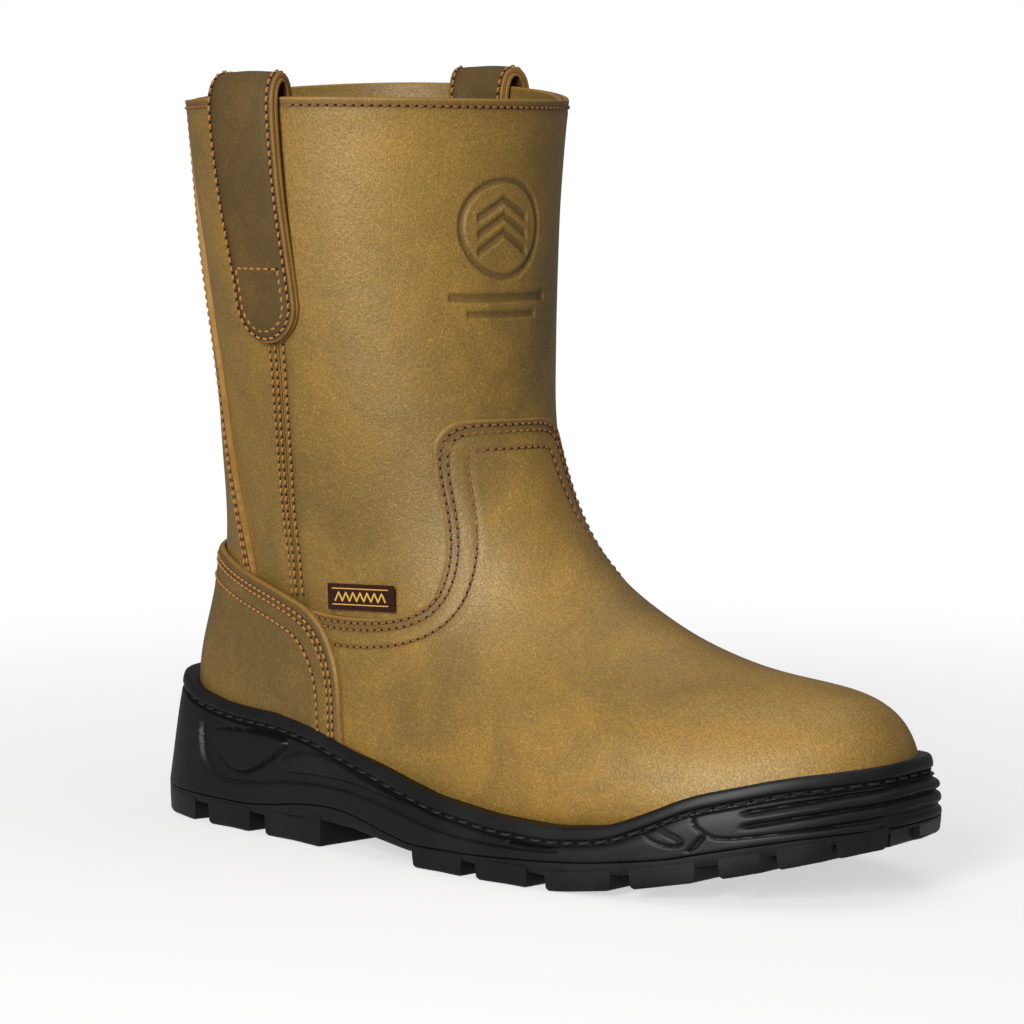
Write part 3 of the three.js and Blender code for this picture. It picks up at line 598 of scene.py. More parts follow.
def strap_point(side, across, along, lift):
    """Point on a pull strap: across and along its length in millimetres, lift above its underside."""
    across, along, lift = np.broadcast_arrays(across, along, lift)
    offset, z, run_x, run_z = (
        np.interp(along, STRAP_RUN, field) for field in
        (STRAP_LINE[:, 0], STRAP_LINE[:, 1], STRAP_WAY[:, 0], STRAP_WAY[:, 1]))
    if side < 0:
        z = z + 0.55 * FAR_SIDE_RISE * smooth_step(215, 250, z)
    u = side * (STRAP_CENTRE_U + STRAP_HALF_U * across / STRAP_HALF)
    return shaft_point(u, z - run_x * lift, offset + run_z * lift)


def strap_layer(name, side, faces, inset_by, crown):
    """Leather strap with a round lower end, rolled edges and a slightly raised middle."""
    half = STRAP_HALF - inset_by
    turn = np.linspace(0.16, np.pi / 2, 13)
    ends = half * (1 - np.cos(turn)) + inset_by
    along = np.concatenate([ends, np.arange(ends[-1] + 1.2, STRAP_LENGTH - 0.5, 1.2), [STRAP_LENGTH - 0.2]])
    rounded = half * np.sqrt(1 - np.clip(1 - (along - inset_by) / half, 0, 1) ** 2)
    width = np.where(along < half + inset_by, rounded, half)
    across = 2 * spread(2 * half, 1.2, 0.9) - 1
    x, y = across[:, None] * width[None, :], np.broadcast_to(along, (len(across), len(along)))
    beside = half - np.hypot(x, np.minimum(y - half - inset_by, 0))
    edge = np.clip(np.minimum(beside, STRAP_LENGTH - y), 0, FAR)
    bow = crown * (1 - (x / half) ** 2)
    wave = 0.12 * np.sin(y / 9 + side) + 0.08 * np.sin(y / 4.3 + x / 3)
    height = faces[1] - edge_drop(edge, 0.9, 0.7) + (bow + wave) * np.clip(edge / 4, 0, 1)
    seam = np.minimum(abs(edge - 2.1), FAR)
    if crown:
        height = height - 0.2 * np.exp(-((seam / 0.8) ** 2))
    outer = strap_point(side, x, y, height)
    inner = strap_point(side, x, y, np.full_like(height, faces[0]))
    return shell(name, outer, inner, attributes={"edge": edge, "seam": seam})


def strap_line(side, across, along, lift):
    """A row on the strap face: its points and the way it faces."""
    across, along = np.asarray(across, float), np.asarray(along, float)
    lengths = arc_lengths(np.stack([across, along], -1))
    at = np.linspace(0, lengths[-1], max(int(lengths[-1] / 0.8), 3))
    x, y = np.interp(at, lengths, across), np.interp(at, lengths, along)
    points = strap_point(side, x, y, lift)
    return points, unit(strap_point(side, x, y, lift + 1.0) - points)


def strap_rows(side, lift):
    rows = []
    for inside in (2.1, 4.6):
        r = STRAP_HALF - inside
        turn = np.linspace(-np.pi / 2, np.pi / 2, 40)
        top = STRAP_LENGTH - 3 if inside < 3 else 26
        x = np.concatenate([[-r], r * np.sin(turn), [r]])
        y = np.concatenate([[top], STRAP_HALF - r * np.cos(turn), [top]])
        rows.append(strap_line(side, x, y, lift))
    rows.append(strap_line(side, [-9.2, 9.2], [26, 26], lift))
    return rows


# ---------------------------------------------------------------- sole


def plan_point(u, grow=0.0):
    """Plan outline of the sole moved outward by grow millimetres; returns x, y and the undisplaced x."""
    u = np.asarray(u, float)
    p = ring_point(SOLE_PLAN, (u + 1) % 2 - 1)
    q = ring_point(SOLE_PLAN, (u + 1.004) % 2 - 1) - ring_point(SOLE_PLAN, (u + 0.996) % 2 - 1)
    out = unit(np.stack([q[..., 1], -q[..., 0], 0 * u], -1))
    out = out * np.sign((out[..., 0] * (p[..., 0] - 152) + out[..., 1] * p[..., 1]))[..., None]
    moved = p + out * np.broadcast_to(grow, u.shape)[..., None]
    return moved[..., 0], moved[..., 1], p[..., 0]


def even_plan(n):
    """n values of u evenly spaced round the sole, and each one's distance from the toe, lateral positive."""
    fine = np.linspace(-1, 1, 8001)
    x, y, _ = plan_point(fine)
    lengths = arc_lengths(np.stack([x, y], -1))
    at = np.linspace(0, lengths[-1], n, endpoint=False)
    u = np.interp(at, lengths, fine)
    zero = np.interp(0.0, fine, lengths)
    return u, at - zero


def flare(x, share):
    return share * (HEEL_FLARE * (1 - smooth_step(12, 80, x)) + TOE_FLARE * smooth_step(235, 300, x))


def round_the_sole():
    """Values of u down one side of the sole, and the distance from the toe at each."""
    fine = np.linspace(0, 1, 4001)
    x, y, _ = plan_point(fine)
    return fine, arc_lengths(np.stack([x, y], -1))


PLAN_U, PLAN_RUN = round_the_sole()


def wall_outline(points):
    """Outline given as (u, height) turned to (distance from the toe, height)."""
    points = np.asarray(points, float)
    away = np.sign(points[:, 0]) * np.interp(np.abs(points[:, 0]), PLAN_U, PLAN_RUN)
    return np.stack([away, points[:, 1]], -1)


def segment_distance(p, a, b):
    ab = b - a
    t = np.clip(((p - a) @ ab) / (ab @ ab), 0, 1)
    return np.linalg.norm(p - a - t[..., None] * ab, axis=-1)


def line_distance(p, line, closed=False):
    ends = np.roll(line, -1, 0) if closed else line[1:]
    return np.minimum.reduce([segment_distance(p, a, b) for a, b in zip(line, ends)])


def inside(p, outline):
    x, y = p[..., 0], p[..., 1]
    hit = np.zeros(x.shape, bool)
    for (x0, y0), (x1, y1) in zip(outline, np.roll(outline, -1, 0)):
        crosses = (y0 > y) != (y1 > y)
        hit ^= crosses & (x < (x1 - x0) * (y - y0) / (y1 - y0 + 1e-12) + x0)
    return hit


def smoothed(points, rounds=2, closed=True):
    """Corner-cut copy of an outline."""
    for _ in range(rounds):
        nxt = np.roll(points, -1, 0) if closed else points[1:]
        own = points if closed else points[:-1]
        cut = np.stack([0.75 * own + 0.25 * nxt, 0.25 * own + 0.75 * nxt], 1).reshape(-1, 2)
        points = cut if closed else np.concatenate([points[:1], cut, points[-1:]])
    return points


HEEL_PLATE = [(0.79, 32.0), (0.726, 33.4), (0.676, 33.2), (0.668, 31.2), (0.70, 22.8), (0.723, 18.6),
              (0.742, 18.3), (0.768, 22.6), (0.786, 27)]
WAIST_FIELD = [(0.817, 36.6), (0.805, 22.6), (0.787, 17.4), (0.757, 14.4), (0.70, 16.0), (0.664, 18.6),
               (0.602, 20.0), (0.559, 17.4), (0.533, 15), (0.495, 11.4), (0.447, 10.2), (0.386, 10.6),
               (0.386, 12.4), (0.42, 13.2), (0.447, 14.2), (0.495, 17.3), (0.546, 21.3), (0.602, 29),
               (0.65, 34), (0.70, 36), (0.76, 36.8)]
WAIST_TONGUE = [(0.676, 23.6), (0.668, 27.2), (0.644, 30.0), (0.616, 29.4), (0.584, 25.2), (0.546, 20.8),
                (0.515, 17.8), (0.546, 19.6), (0.584, 22.8), (0.632, 23.0), (0.668, 21.8)]
TOE_PLATE = [(0.271, 28.6), (0.27, 24.2), (0.262, 22.0), (0.249, 19.8), (0.202, 22.2), (0.149, 24.4),
             (0.079, 26.0), (0.0, 26.6), (-0.12, 26.6), (-0.12, 60), (0.271, 60)]
SIDE_LEAF = [(0.319, 22.2), (0.308, 18.6), (0.293, 16.8), (0.279, 17.4), (0.283, 19.6), (0.296, 21.4),
             (0.303, 24.0)]
SLANT_BAR = [(0.262, 20.4), (0.274, 15.2)]
BALL_LINE = [(0.43, 12.4), (0.403, 12.0), (0.388, 13.2), (0.377, 15.2), (0.372, 19)]
TOE_RIB = [(0.0, 34.1), (0.031, 33.8), (0.117, 32.0), (0.177, 29.5), (0.228, 26.4), (0.3, 22)]


def wall_relief(away, z):
    """Depth of the moulded pattern on the sole wall: positive stands out, negative is cut in."""
    p = np.stack([np.abs(away), z], -1)

    def plate(points, height, wall, line=0.0):
        outline = smoothed(wall_outline(points))
        d = line_distance(p, outline, True) * np.where(inside(p, outline), 1, -1)
        step = height * smooth_step(-wall / 2, wall / 2, d)
        return step - line * np.exp(-((d / 0.55) ** 2))

    total = plate(WAIST_FIELD, -1.1, 1.0)
    total = total + plate(WAIST_TONGUE, 0.85, 1.3)
    total = total + plate(HEEL_PLATE, 0.75, 0.9, 0.75)
    total = total + plate(SIDE_LEAF, 0.5, 0.8, 0.6)
    total = total + plate(TOE_PLATE, 0.35, 0.9, 0.5)
    for points in (SLANT_BAR, BALL_LINE):
        d = line_distance(p, smoothed(wall_outline(points), 1, False))
        total = total - 0.85 * np.exp(-((d / 0.7) ** 2))
    rib = wall_outline(TOE_RIB)
    phase = z - np.interp(p[..., 0], rib[:, 0], rib[:, 1])
    start = np.interp(0.232, PLAN_U, PLAN_RUN)
    near = 1 - smooth_step(start - 5, start, p[..., 0])
    tip_start, tip_end = np.interp((0.10, 0.2), PLAN_U, PLAN_RUN)
    tip = 1 - smooth_step(tip_start, tip_end, p[..., 0])
    for level, share in ((-2.1, near), (2.1, near), (-6.3, 0.8 * tip), (6.3, tip)):
        total = total - share * np.exp(-(((phase - level) / 0.75) ** 2))
    return 1.45 * total + 0.4 * near * np.exp(-((phase / 1.1) ** 2))


VAMP_CLEAR, COVER_CLEAR = 4.75, 7.05


def rim_v(u):
    """v at which the cup's inner face reaches the rim height."""
    clear = cup_clearance(u)
    low, high = np.full(u.shape, 0.05), np.full(u.shape, 0.45)
    for _ in range(18):
        middle = (low + high) / 2
        p = on_last(u, middle, clear)
        under = p[..., 2] < table(RIM_HEIGHT, p[..., 0])
        low, high = np.where(under, middle, low), np.where(under, high, middle)
    return low


def cup_clearance(u):
    """Distance of the cup's inner face from the last: clear of the vamp, then of the heel cover."""
    behind = smooth_step(0.56, 0.61, np.abs((np.asarray(u) + 1) % 2 - 1))
    return VAMP_CLEAR + (COVER_CLEAR - VAMP_CLEAR) * behind


def midsole_grid(n):
    """Rows of points up the outside of the cup, over its rim and down inside."""
    u, away = even_plan(n)
    base = plan_point(u)[2]
    rim, parting = soft_table(RIM_HEIGHT, base, 6), soft_table(PARTING_HEIGHT, base, 4)

    def row(grow, z, lean=0.0, relief=None):
        out = np.broadcast_to(grow, u.shape) + flare(base, lean)
        if relief is not None:
            out = out + relief
        x, y, _ = plan_point(u, out)
        return np.stack([x, y, np.broadcast_to(z, u.shape)], -1)

    rows = [row(-18, table(CORE_HEIGHT, base) + 1), row(-9, table(CORE_HEIGHT, base)),
            row(-0.6, parting, 1), row(-0.15, parting + 0.15, 1), row(0, parting + 0.4, 0.97)]
    wall = np.linspace(0, 1, 44)
    for t in wall:
        z = parting + 1.2 + (rim - 6.4 - parting - 1.2) * t
        relief = wall_relief(away, z) * smooth_step(0, 0.06, t) * (1 - smooth_step(0.97, 1, t))
        rows.append(row(-1.1 * t**4, z, 0.95 * (1 - t) ** 1.3, relief))
    lip = ((-1.9, 6.15), (-2.7, 6.05), (-2.8, 5.7), (-2.8, 4.7), (-2.7, 4.35), (-1.9, 4.2), (-1.5, 4.0),
           (-1.35, 3.6), (-1.4, 2.8), (-1.6, 1.8), (-1.9, 0.9), (-2.2, 0.4), (-2.7, 0.08), (-3.2, 0.0))
    rows += [row(grow, rim - drop) for grow, drop in lip]
    clear, top = cup_clearance(u), rim_v(u)
    rows.append(on_last(u, top, clear))
    rows += [on_last(u, top * k, clear) for k in (0.9, 0.7, 0.5, 0.3, 0.1)]
    grid = np.stack(rows, 1)
    centre = grid[:, -1].copy()
    centre[:, 1] *= 0.02
    return np.concatenate([grid, centre[:, None]], 1), u


def closed_loft(name, grid):
    """Closed body from a wrapped grid whose first and last rows are joined across by the mirror column."""
    columns, rows = grid.shape[:2]
    faces = [tuple(f) for f in grid_faces(columns, rows, True).tolist()]
    half = columns // 2
    for row, flip in ((0, 1), (rows - 1, -1)):
        for k in range(half):
            a, b = k, k + 1
            c, d = (columns - k - 1) % columns, (columns - k) % columns
            ring = []
            for q in (a, b, c, d)[::flip]:
                if q * rows + row not in ring:
                    ring.append(q * rows + row)
            if len(ring) > 2:
                faces.append(tuple(ring))
    return new_object(name, to_frame(grid.reshape(-1, 3)), faces)


# Gaps between the tread lugs along each side, as (start x, end x).
LUG_EDGES = [(10, 28.8), (37.1, 58.3), (66.9, 96), (143, 165), (172, 193), (201, 224.4), (231.7, 251.7),
             (259.6, 271.4), (275.6, 287), (290.2, 297)]


def ground(x):
    t = np.maximum(0, np.asarray(x, float) - 200) / 105
    return GROUND + 20 * t**1.4


ROOT_HEIGHT = [(0, 4.6), (88, 4.8), (95, 7.2), (113, 7.0), (126, 5.0), (140, 3.2), (150, 3.0), (400, 3.0)]
LUG_REACH = [(0, 21), (140, 21), (141, 27), (255, 27), (256, 17), (270, 17), (271, 10)]
LUG_SLANT = 5.0
LUG_INSET = 0.4


def root_height(x):
    """Height of the sole between the lugs."""
    return np.maximum(table(ROOT_HEIGHT, x), ground(x) + 4.7)


def tread_base(n):
    """Plate that carries the lugs: flat-sided, closed across its top and bottom."""
    u, _ = even_plan(n)
    u = np.roll(u, -int(np.argmin(np.abs(u))))
    base = plan_point(u)[2]
    parting = soft_table(PARTING_HEIGHT, base, 4)
    root = root_height(base)

    def row(grow, z, lean=1.0):
        x, y, _ = plan_point(u, grow + flare(base, lean))
        return np.stack([x, y, np.broadcast_to(z, u.shape)], -1)

    rows = [row(-2.2, root), row(-1.1, root + 0.15), row(-0.5, root + 0.6),
            row(-0.3, (root + parting) / 2), row(-0.2, parting - 1.2), row(-0.2, parting - 0.4),
            row(-0.6, parting - 0.2), row(-9, table(CORE_HEIGHT, base) - 1.2, 0)]
    return np.stack(rows, 1)


def lug(outline, chamfer=1.0, depth_in=0.8):
    """Tapered rubber lug under an outline of (x, y) points, from inside the plate down to the ground."""
    outline = np.asarray(outline, float)
    middle = outline.mean(0)
    away = unit(outline - middle)
    levels = [(0.5, root_height, depth_in), (0.45, root_height, -0.3), (0.1, ground, chamfer + 0.3),
              (-0.1, ground, chamfer - 0.2), (-chamfer, ground, 0.1), (-chamfer - 0.4, ground, 0.0)]
    rings = []
    for grow, height, lift in levels:
        ring = outline + away * grow
        z = height(ring[:, 0]) + lift
        rings.append(np.column_stack([ring, z]))
    points = np.concatenate(rings)
    n = len(outline)
    faces = []
    for r in range(len(rings) - 1):
        for k in range(n):
            m = (k + 1) % n
            faces.append((r * n + k, r * n + m, (r + 1) * n + m, (r + 1) * n + k))
    faces.append(tuple(range(n)))
    faces.append(tuple((len(rings) - 1) * n + k for k in reversed(range(n))))
    return points, faces


def side_lug(x0, x1, side, reach):
    """Outline of a lug at the sole's edge: its outer side follows the plan, its inner side is slanted."""
    fine = np.linspace(0, 1, 2001)
    run_x = ring_point(SOLE_PLAN, fine)[:, 0]
    front, back = np.interp([x1, x0], run_x[::-1], fine[::-1])
    u = side * np.linspace(front, back, 9)
    base = plan_point(u)[2]
    x, y, _ = plan_point(u, flare(base, 1) - LUG_INSET)
    inner = [(x0, reach), ((x0 + x1) / 2, reach - 2), (x1, reach)]
    return np.concatenate([np.stack([x, y], -1), [(at + LUG_SLANT, -side * far) for at, far in inner]])


def tread_lugs():
    blocks = []
    for x0, x1 in LUG_EDGES:
        for side in (1, -1):
            blocks.append(lug(side_lug(x0, x1, side, table(LUG_REACH, x0)), depth_in=2.2))
    for x in np.arange(150, 262, 21):
        chevron = [(x, -21), (x + 5.5, -21), (x + 15, 2), (x + 5.5, 25), (x, 25), (x + 8, 2)]
        blocks.append(lug(chevron, chamfer=0.8))
    for y in (-7.5, 7.5):
        blocks.append(lug([(14, y - 4.5), (86, y - 4.5), (86, y + 4.5), (14, y + 4.5)], chamfer=0.8))
    blocks.append(lug([(280, -7), (300, -5), (300, 13), (280, 15)], chamfer=0.8))
    return blocks


# ---------------------------------------------------------------- shader expressions


class Wire:
    """A shader socket or a number; arithmetic on it adds Math nodes to its tree."""

    def __init__(self, tree, socket):
        self.tree, self.socket = tree, socket

    def node(self, kind, settings=None, outlet=0, **inlets):
        """Adds a node of a type, sets its settings and then its sockets; returns one of its outputs."""
        made = self.tree.nodes.new(kind)
        for label, value in (settings or {}).items():
            setattr(made, label, value)
        for label, value in inlets.items():
            key = int(label[1:]) if label[0] == "i" and label[1:].isdigit() else label.replace("_", " ")
            inlet = made.inputs[key]
            if isinstance(value, Wire):
                self.tree.links.new(value.socket, inlet)
            else:
                inlet.default_value = value
        return Wire(self.tree, made.outputs[outlet])

    def math(self, operation, *values, clamp=False):
        inlets = {f"i{k}": v for k, v in enumerate(values)}
        return self.node("ShaderNodeMath", {"operation": operation, "use_clamp": clamp}, **inlets)

    def __add__(self, other):
        return self.math("ADD", self, other)

    def __radd__(self, other):
        return self.math("ADD", other, self)

    def __sub__(self, other):
        return self.math("SUBTRACT", self, other)

    def __rsub__(self, other):
        return self.math("SUBTRACT", other, self)

    def __mul__(self, other):
        return self.math("MULTIPLY", self, other)

    def __rmul__(self, other):
        return self.math("MULTIPLY", other, self)

    def __pow__(self, other):
        return self.math("POWER", self, other)

    def colour(self):
        """The colour outlet of the node this value comes from."""
        return Wire(self.tree, self.socket.node.outputs["Color"])

    def clamped(self):
        return self.math("ADD", self, 0.0, clamp=True)

    def ramp(self, low, high):
        """0 below low, 1 above high, smooth between."""
        return self.node("ShaderNodeMapRange", {"interpolation_type": "SMOOTHSTEP"},
                         Value=self, From_Min=low, From_Max=high)

    def mix(self, first, second):
        """First colour where this is 0, second where it is 1."""
        return self.node("ShaderNodeMix", {"data_type": "RGBA"}, outlet=2, i0=self, i6=first, i7=second)


def rgb(colour):
    """A colour field or three numbers as an opaque colour."""
    return (*tuple(colour)[:3], 1.0)


def times(colour, factor):
    """A colour made darker or lighter."""
    return [factor * channel for channel in colour]


class Finish:
    """A material being built: its tree, its place on the object and its surface shader."""

    def __init__(self, name):
        self.material = bpy.data.materials.new(name)
        self.material.use_nodes = True
        self.tree = self.material.node_tree
        self.shader = next(n for n in self.tree.nodes if n.type == "BSDF_PRINCIPLED")
        self.start = Wire(self.tree, None)
        self.place = self.start.node("ShaderNodeTexCoord", outlet=3)

    def noise(self, scale, detail=3.0, rough=0.55, place=None, warp=0.0):
        return self.start.node("ShaderNodeTexNoise", Vector=place or self.place, Scale=scale,
                               Detail=detail, Roughness=rough, Distortion=warp)

    def cells(self, scale, feature="F1", place=None):
        return self.start.node("ShaderNodeTexVoronoi", {"feature": feature},
                               Vector=place or self.place, Scale=scale)

    def mesh_value(self, label):
        return self.start.node("ShaderNodeAttribute", {"attribute_name": label}, outlet=2)

    def stretched(self, x, y, z):
        return self.start.node("ShaderNodeMapping", Vector=self.place, Scale=(x, y, z))

    def part(self, axis):
        return self.start.node("ShaderNodeSeparateXYZ", outlet=axis, Vector=self.place)

    def bump(self, height, distance, strength=1.0, under=None):
        inlets = dict(Strength=strength, Distance=distance, Height=height)
        if under is not None:
            inlets["Normal"] = under
        return self.start.node("ShaderNodeBump", **inlets)

    def set(self, **sockets):
        for label, value in sockets.items():
            inlet = self.shader.inputs[label.replace("_", " ")]
            if isinstance(value, Wire):
                self.tree.links.new(value.socket, inlet)
            else:
                inlet.default_value = value
        return self.material


def leather_finish(name, colours, olive=0.0, shade_down=0.0):
    """Oiled pull-up leather: golden and olive clouds, fine grain, raw golden edges and rubbed ridges, with
    painted shade beside edges, along seam rows and in the pressed mark.
    """
    f = Finish(name)
    clouds = f.noise(9.0, 4.0, 0.6, warp=0.8)
    patches = f.noise(38.0, 5.0, 0.66, warp=0.9)
    specks = f.noise(1300.0, 3.0, 0.7)
    fleck = f.noise(2600.0, 2.0, 0.6)
    grain = f.cells(1250.0)
    wander = f.start.node("ShaderNodeVectorMath", {"operation": "MULTIPLY_ADD"},
                          i0=f.noise(420.0, 2.0).colour(), i1=(0.0016, 0.0016, 0.0016), i2=f.place)
    crack = f.cells(430.0, "DISTANCE_TO_EDGE", place=wander)
    # shade is the random mix of olive and gold clouds in the hide; shade_down below darkens the tone of a
    # whole piece.
    shade = (0.7 * clouds + 0.3 * patches - olive).ramp(0.29, 0.69)
    body = shade.mix(rgb(colours.leather_olive), rgb(colours.leather_gold))
    warm = (0.5 * patches + 0.5 * f.noise(5.5, 2.0)).ramp(0.46, 0.70) * 0.45
    body = warm.mix(body, rgb(colours.leather_amber))
    speck = ((specks - 0.5) * 1.6 + (fleck - 0.5) * 1.4 + 0.5).ramp(0.2, 0.8)
    body = (0.24 * (1 - speck)).mix(body, rgb(colours.leather_dark_and_painted_shade))
    body = (0.22 * speck * (0.4 + shade)).mix(body, rgb(colours.leather_light))
    veins = (1 - crack.ramp(0.0, 0.055)) * specks.ramp(0.42, 0.62) * (0.14 + 0.4 * patches)
    body = veins.mix(body, rgb(colours.leather_light))
    if shade_down:
        body = (shade_down + 0.25 * (0.5 - patches)).clamped().mix(body, rgb(colours.leather_dark_and_painted_shade))
    edge, seam = f.mesh_value("edge"), f.mesh_value("seam")
    # Painted shade: a darker band on the leather inside each raw edge.
    painted_edge_shade = (1 - edge.ramp(0.9, 8.0)) * (0.1 + 0.4 * patches)
    body = painted_edge_shade.mix(body, rgb(colours.leather_dark_and_painted_shade))
    # Painted shade in the grooves along the seam rows.
    painted_seam_shade = (1 - seam.ramp(0.3, 1.5)) * 0.38
    body = painted_seam_shade.mix(body, rgb(colours.leather_dark_and_painted_shade))
    # Painted shade in the pressed mark, darker where it is pressed deeper.
    pressed = f.mesh_value("mark").ramp(0.05, 0.5) * 0.5
    body = pressed.mix(body, rgb(colours.leather_dark_and_painted_shade))
    raw = (1 - (edge + 1.2 * (patches - 0.5)).ramp(0.2, 1.0)) * (0.35 + 0.5 * f.noise(160.0))
    body = raw.mix(body, rgb(colours.leather_edge))
    height = 0.55 * grain + 0.3 * specks + 0.25 * crack.ramp(0.0, 0.12)
    normal = f.bump(height, 0.00016, 0.55, f.bump(patches, 0.0006, 0.35))
    rough = 0.36 + 0.16 * patches + 0.10 * (1 - speck) + 0.22 * raw
    return f.set(Base_Color=body, Roughness=rough, Normal=normal, Specular_IOR_Level=0.55,
                 Specular_Tint=(1.0, 0.86, 0.62, 1.0))


def rubber_finish(name, colour, dust=0.12):
    """Moulded black rubber with a fine matt skin and paler rubbed dust."""
    f = Finish(name)
    broad, fine = f.noise(26.0, 4.0, 0.6), f.noise(1400.0, 3.0, 0.7)
    body = (dust * broad.ramp(0.45, 0.75)).mix(rgb(colour), (0.05, 0.048, 0.045, 1))
    body = (0.12 * fine.ramp(0.55, 0.85)).mix(body, (0.04, 0.04, 0.042, 1))
    normal = f.bump(fine, 0.00012, 0.5, f.bump(broad, 0.0004, 0.3))
    return f.set(Base_Color=body, Roughness=0.38 + 0.18 * broad - 0.06 * fine, Normal=normal,
                 Specular_IOR_Level=0.24)


def thread_finish(name, colour, dark):
    """Twisted waxed thread, with painted shade between its plies."""
    f = Finish(name)
    ply = f.start.node("ShaderNodeTexWave", {"wave_type": "BANDS", "bands_direction": "DIAGONAL"},
                       outlet=1, Vector=f.place, Scale=900.0, Distortion=2.0)
    fuzz = f.noise(1800.0, 3.0, 0.7)
    # The dark colour in the ply bands is painted shade between the plies.
    body = (0.45 * ply + 0.4 * fuzz).ramp(0.2, 0.8).mix(rgb(dark), rgb(colour))
    return f.set(Base_Color=body, Roughness=0.52 + 0.2 * fuzz, Normal=f.bump(ply, 0.00012, 0.8))


# Near-black plug finish: painted shade standing in for the needle hole.
def hole_shade_finish(name, colour):
    f = Finish(name)
    fuzz = f.noise(2200.0, 2.0, 0.6)
    return f.set(Base_Color=(0.5 * fuzz).mix(rgb(colour), rgb(times(colour, 1.8))),
                 Roughness=0.85 + 0.1 * fuzz, Normal=f.bump(fuzz, 0.0001, 0.4), Specular_IOR_Level=0.08)


def cloth_finish(name, colour, dark, scale=900.0, sheen=0.2):
    """Brushed woven cloth: short yarns lying two ways under a fuzzy pile."""
    f = Finish(name)
    warp = f.noise(scale, 2.0, 0.5, place=f.stretched(1.0, 1.0, 0.25))
    weft = f.noise(scale, 2.0, 0.5, place=f.stretched(0.3, 0.3, 1.4))
    weave = 0.5 * warp + 0.5 * weft
    fuzz, broad = f.noise(1500.0, 4.0, 0.7), f.noise(30.0, 3.0)
    mask = (0.6 * weave + 0.3 * fuzz + 0.15 * broad).ramp(0.35, 0.7)
    body = mask.mix(rgb(dark), rgb(colour))
    normal = f.bump(weave + 0.6 * fuzz, 0.00022, 0.7)
    return f.set(Base_Color=body, Roughness=0.82 + 0.12 * fuzz, Normal=normal,
                 Sheen_Weight=sheen, Sheen_Roughness=0.5, Specular_IOR_Level=0.15)


def felt_finish(name, colour, dark):
    f = Finish(name)
    fibres = f.noise(420.0, 6.0, 0.75, place=f.stretched(1.0, 2.2, 1.0), warp=1.5)
    broad = f.noise(60.0, 3.0)
    body = (0.7 * fibres + 0.3 * broad).ramp(0.3, 0.7).mix(rgb(dark), rgb(colour))
    return f.set(Base_Color=body, Roughness=0.88 + 0.08 * fibres, Normal=f.bump(fibres, 0.0004, 0.8))


def steel_finish(name, colour):
    """Pressed steel with rolling marks and a thin mottled coating."""
    f = Finish(name)
    marks = f.noise(260.0, 4.0, 0.6, place=f.stretched(0.12, 1.0, 1.0))
    spots = f.noise(90.0, 5.0, 0.7)
    body = (0.5 * marks + 0.5 * spots).ramp(0.3, 0.7).mix(rgb(times(colour, 0.62)), rgb(colour))
    return f.set(Base_Color=body, Metallic=0.92 - 0.2 * spots.ramp(0.6, 0.8), Roughness=0.30 + 0.25 * spots,
                 Normal=f.bump(marks, 0.00008, 0.4))


def foam_finish(name, colour):
    f = Finish(name)
    pores = f.cells(900.0)
    broad = f.noise(70.0, 3.0)
    # The darker pore centres are painted shade inside the pores.
    body = pores.ramp(0.1, 0.7).mix(rgb(times(colour, 0.45)), rgb(colour))
    return f.set(Base_Color=(0.3 * broad).mix(body, rgb(times(colour, 1.5))),
                 Roughness=0.86 + 0.08 * broad, Normal=f.bump(pores, 0.0003, 0.8))


# ---------------------------------------------------------------- settings


def size_field(label, note, value, low, high):
    return bpy.props.FloatProperty(name=label, description=note, default=value, min=low, max=high,
                                   unit="LENGTH", precision=5)


def colour_field(label, note, value):
    return bpy.props.FloatVectorProperty(name=label, description=note, default=value, size=3,
                                         min=0.0, max=1.0, subtype="COLOR")


class BootSizes(bpy.types.PropertyGroup):
    """Sizes that change how finely the boot is made."""

    panel_step: size_field("Panel step", "Distance between mesh lines on the leather panels",
                           0.0016, 0.0006, 0.01)
    mark_step: size_field("Mark step", "Distance between mesh lines under the pressed mark",
                          0.00055, 0.0003, 0.01)
    stitch_pitch: size_field("Stitch pitch", "Distance from one upper stitch to the next",
                             0.00305, 0.001, 0.01)
    thread_radius: size_field("Thread radius", "Radius of the upper thread", 0.00042, 0.0001, 0.002)
    sole_pitch: size_field("Sole stitch pitch", "Distance from one sole stitch to the next",
                           0.0062, 0.002, 0.02)
    mark_depth: size_field("Mark depth", "Depth of the pressed mark on the shaft", 0.00075, 0.0, 0.002)
    sole_columns: bpy.props.IntProperty(name="Sole columns", default=960, min=120, max=3000,
                                        description="Mesh columns round the sole; an even number")


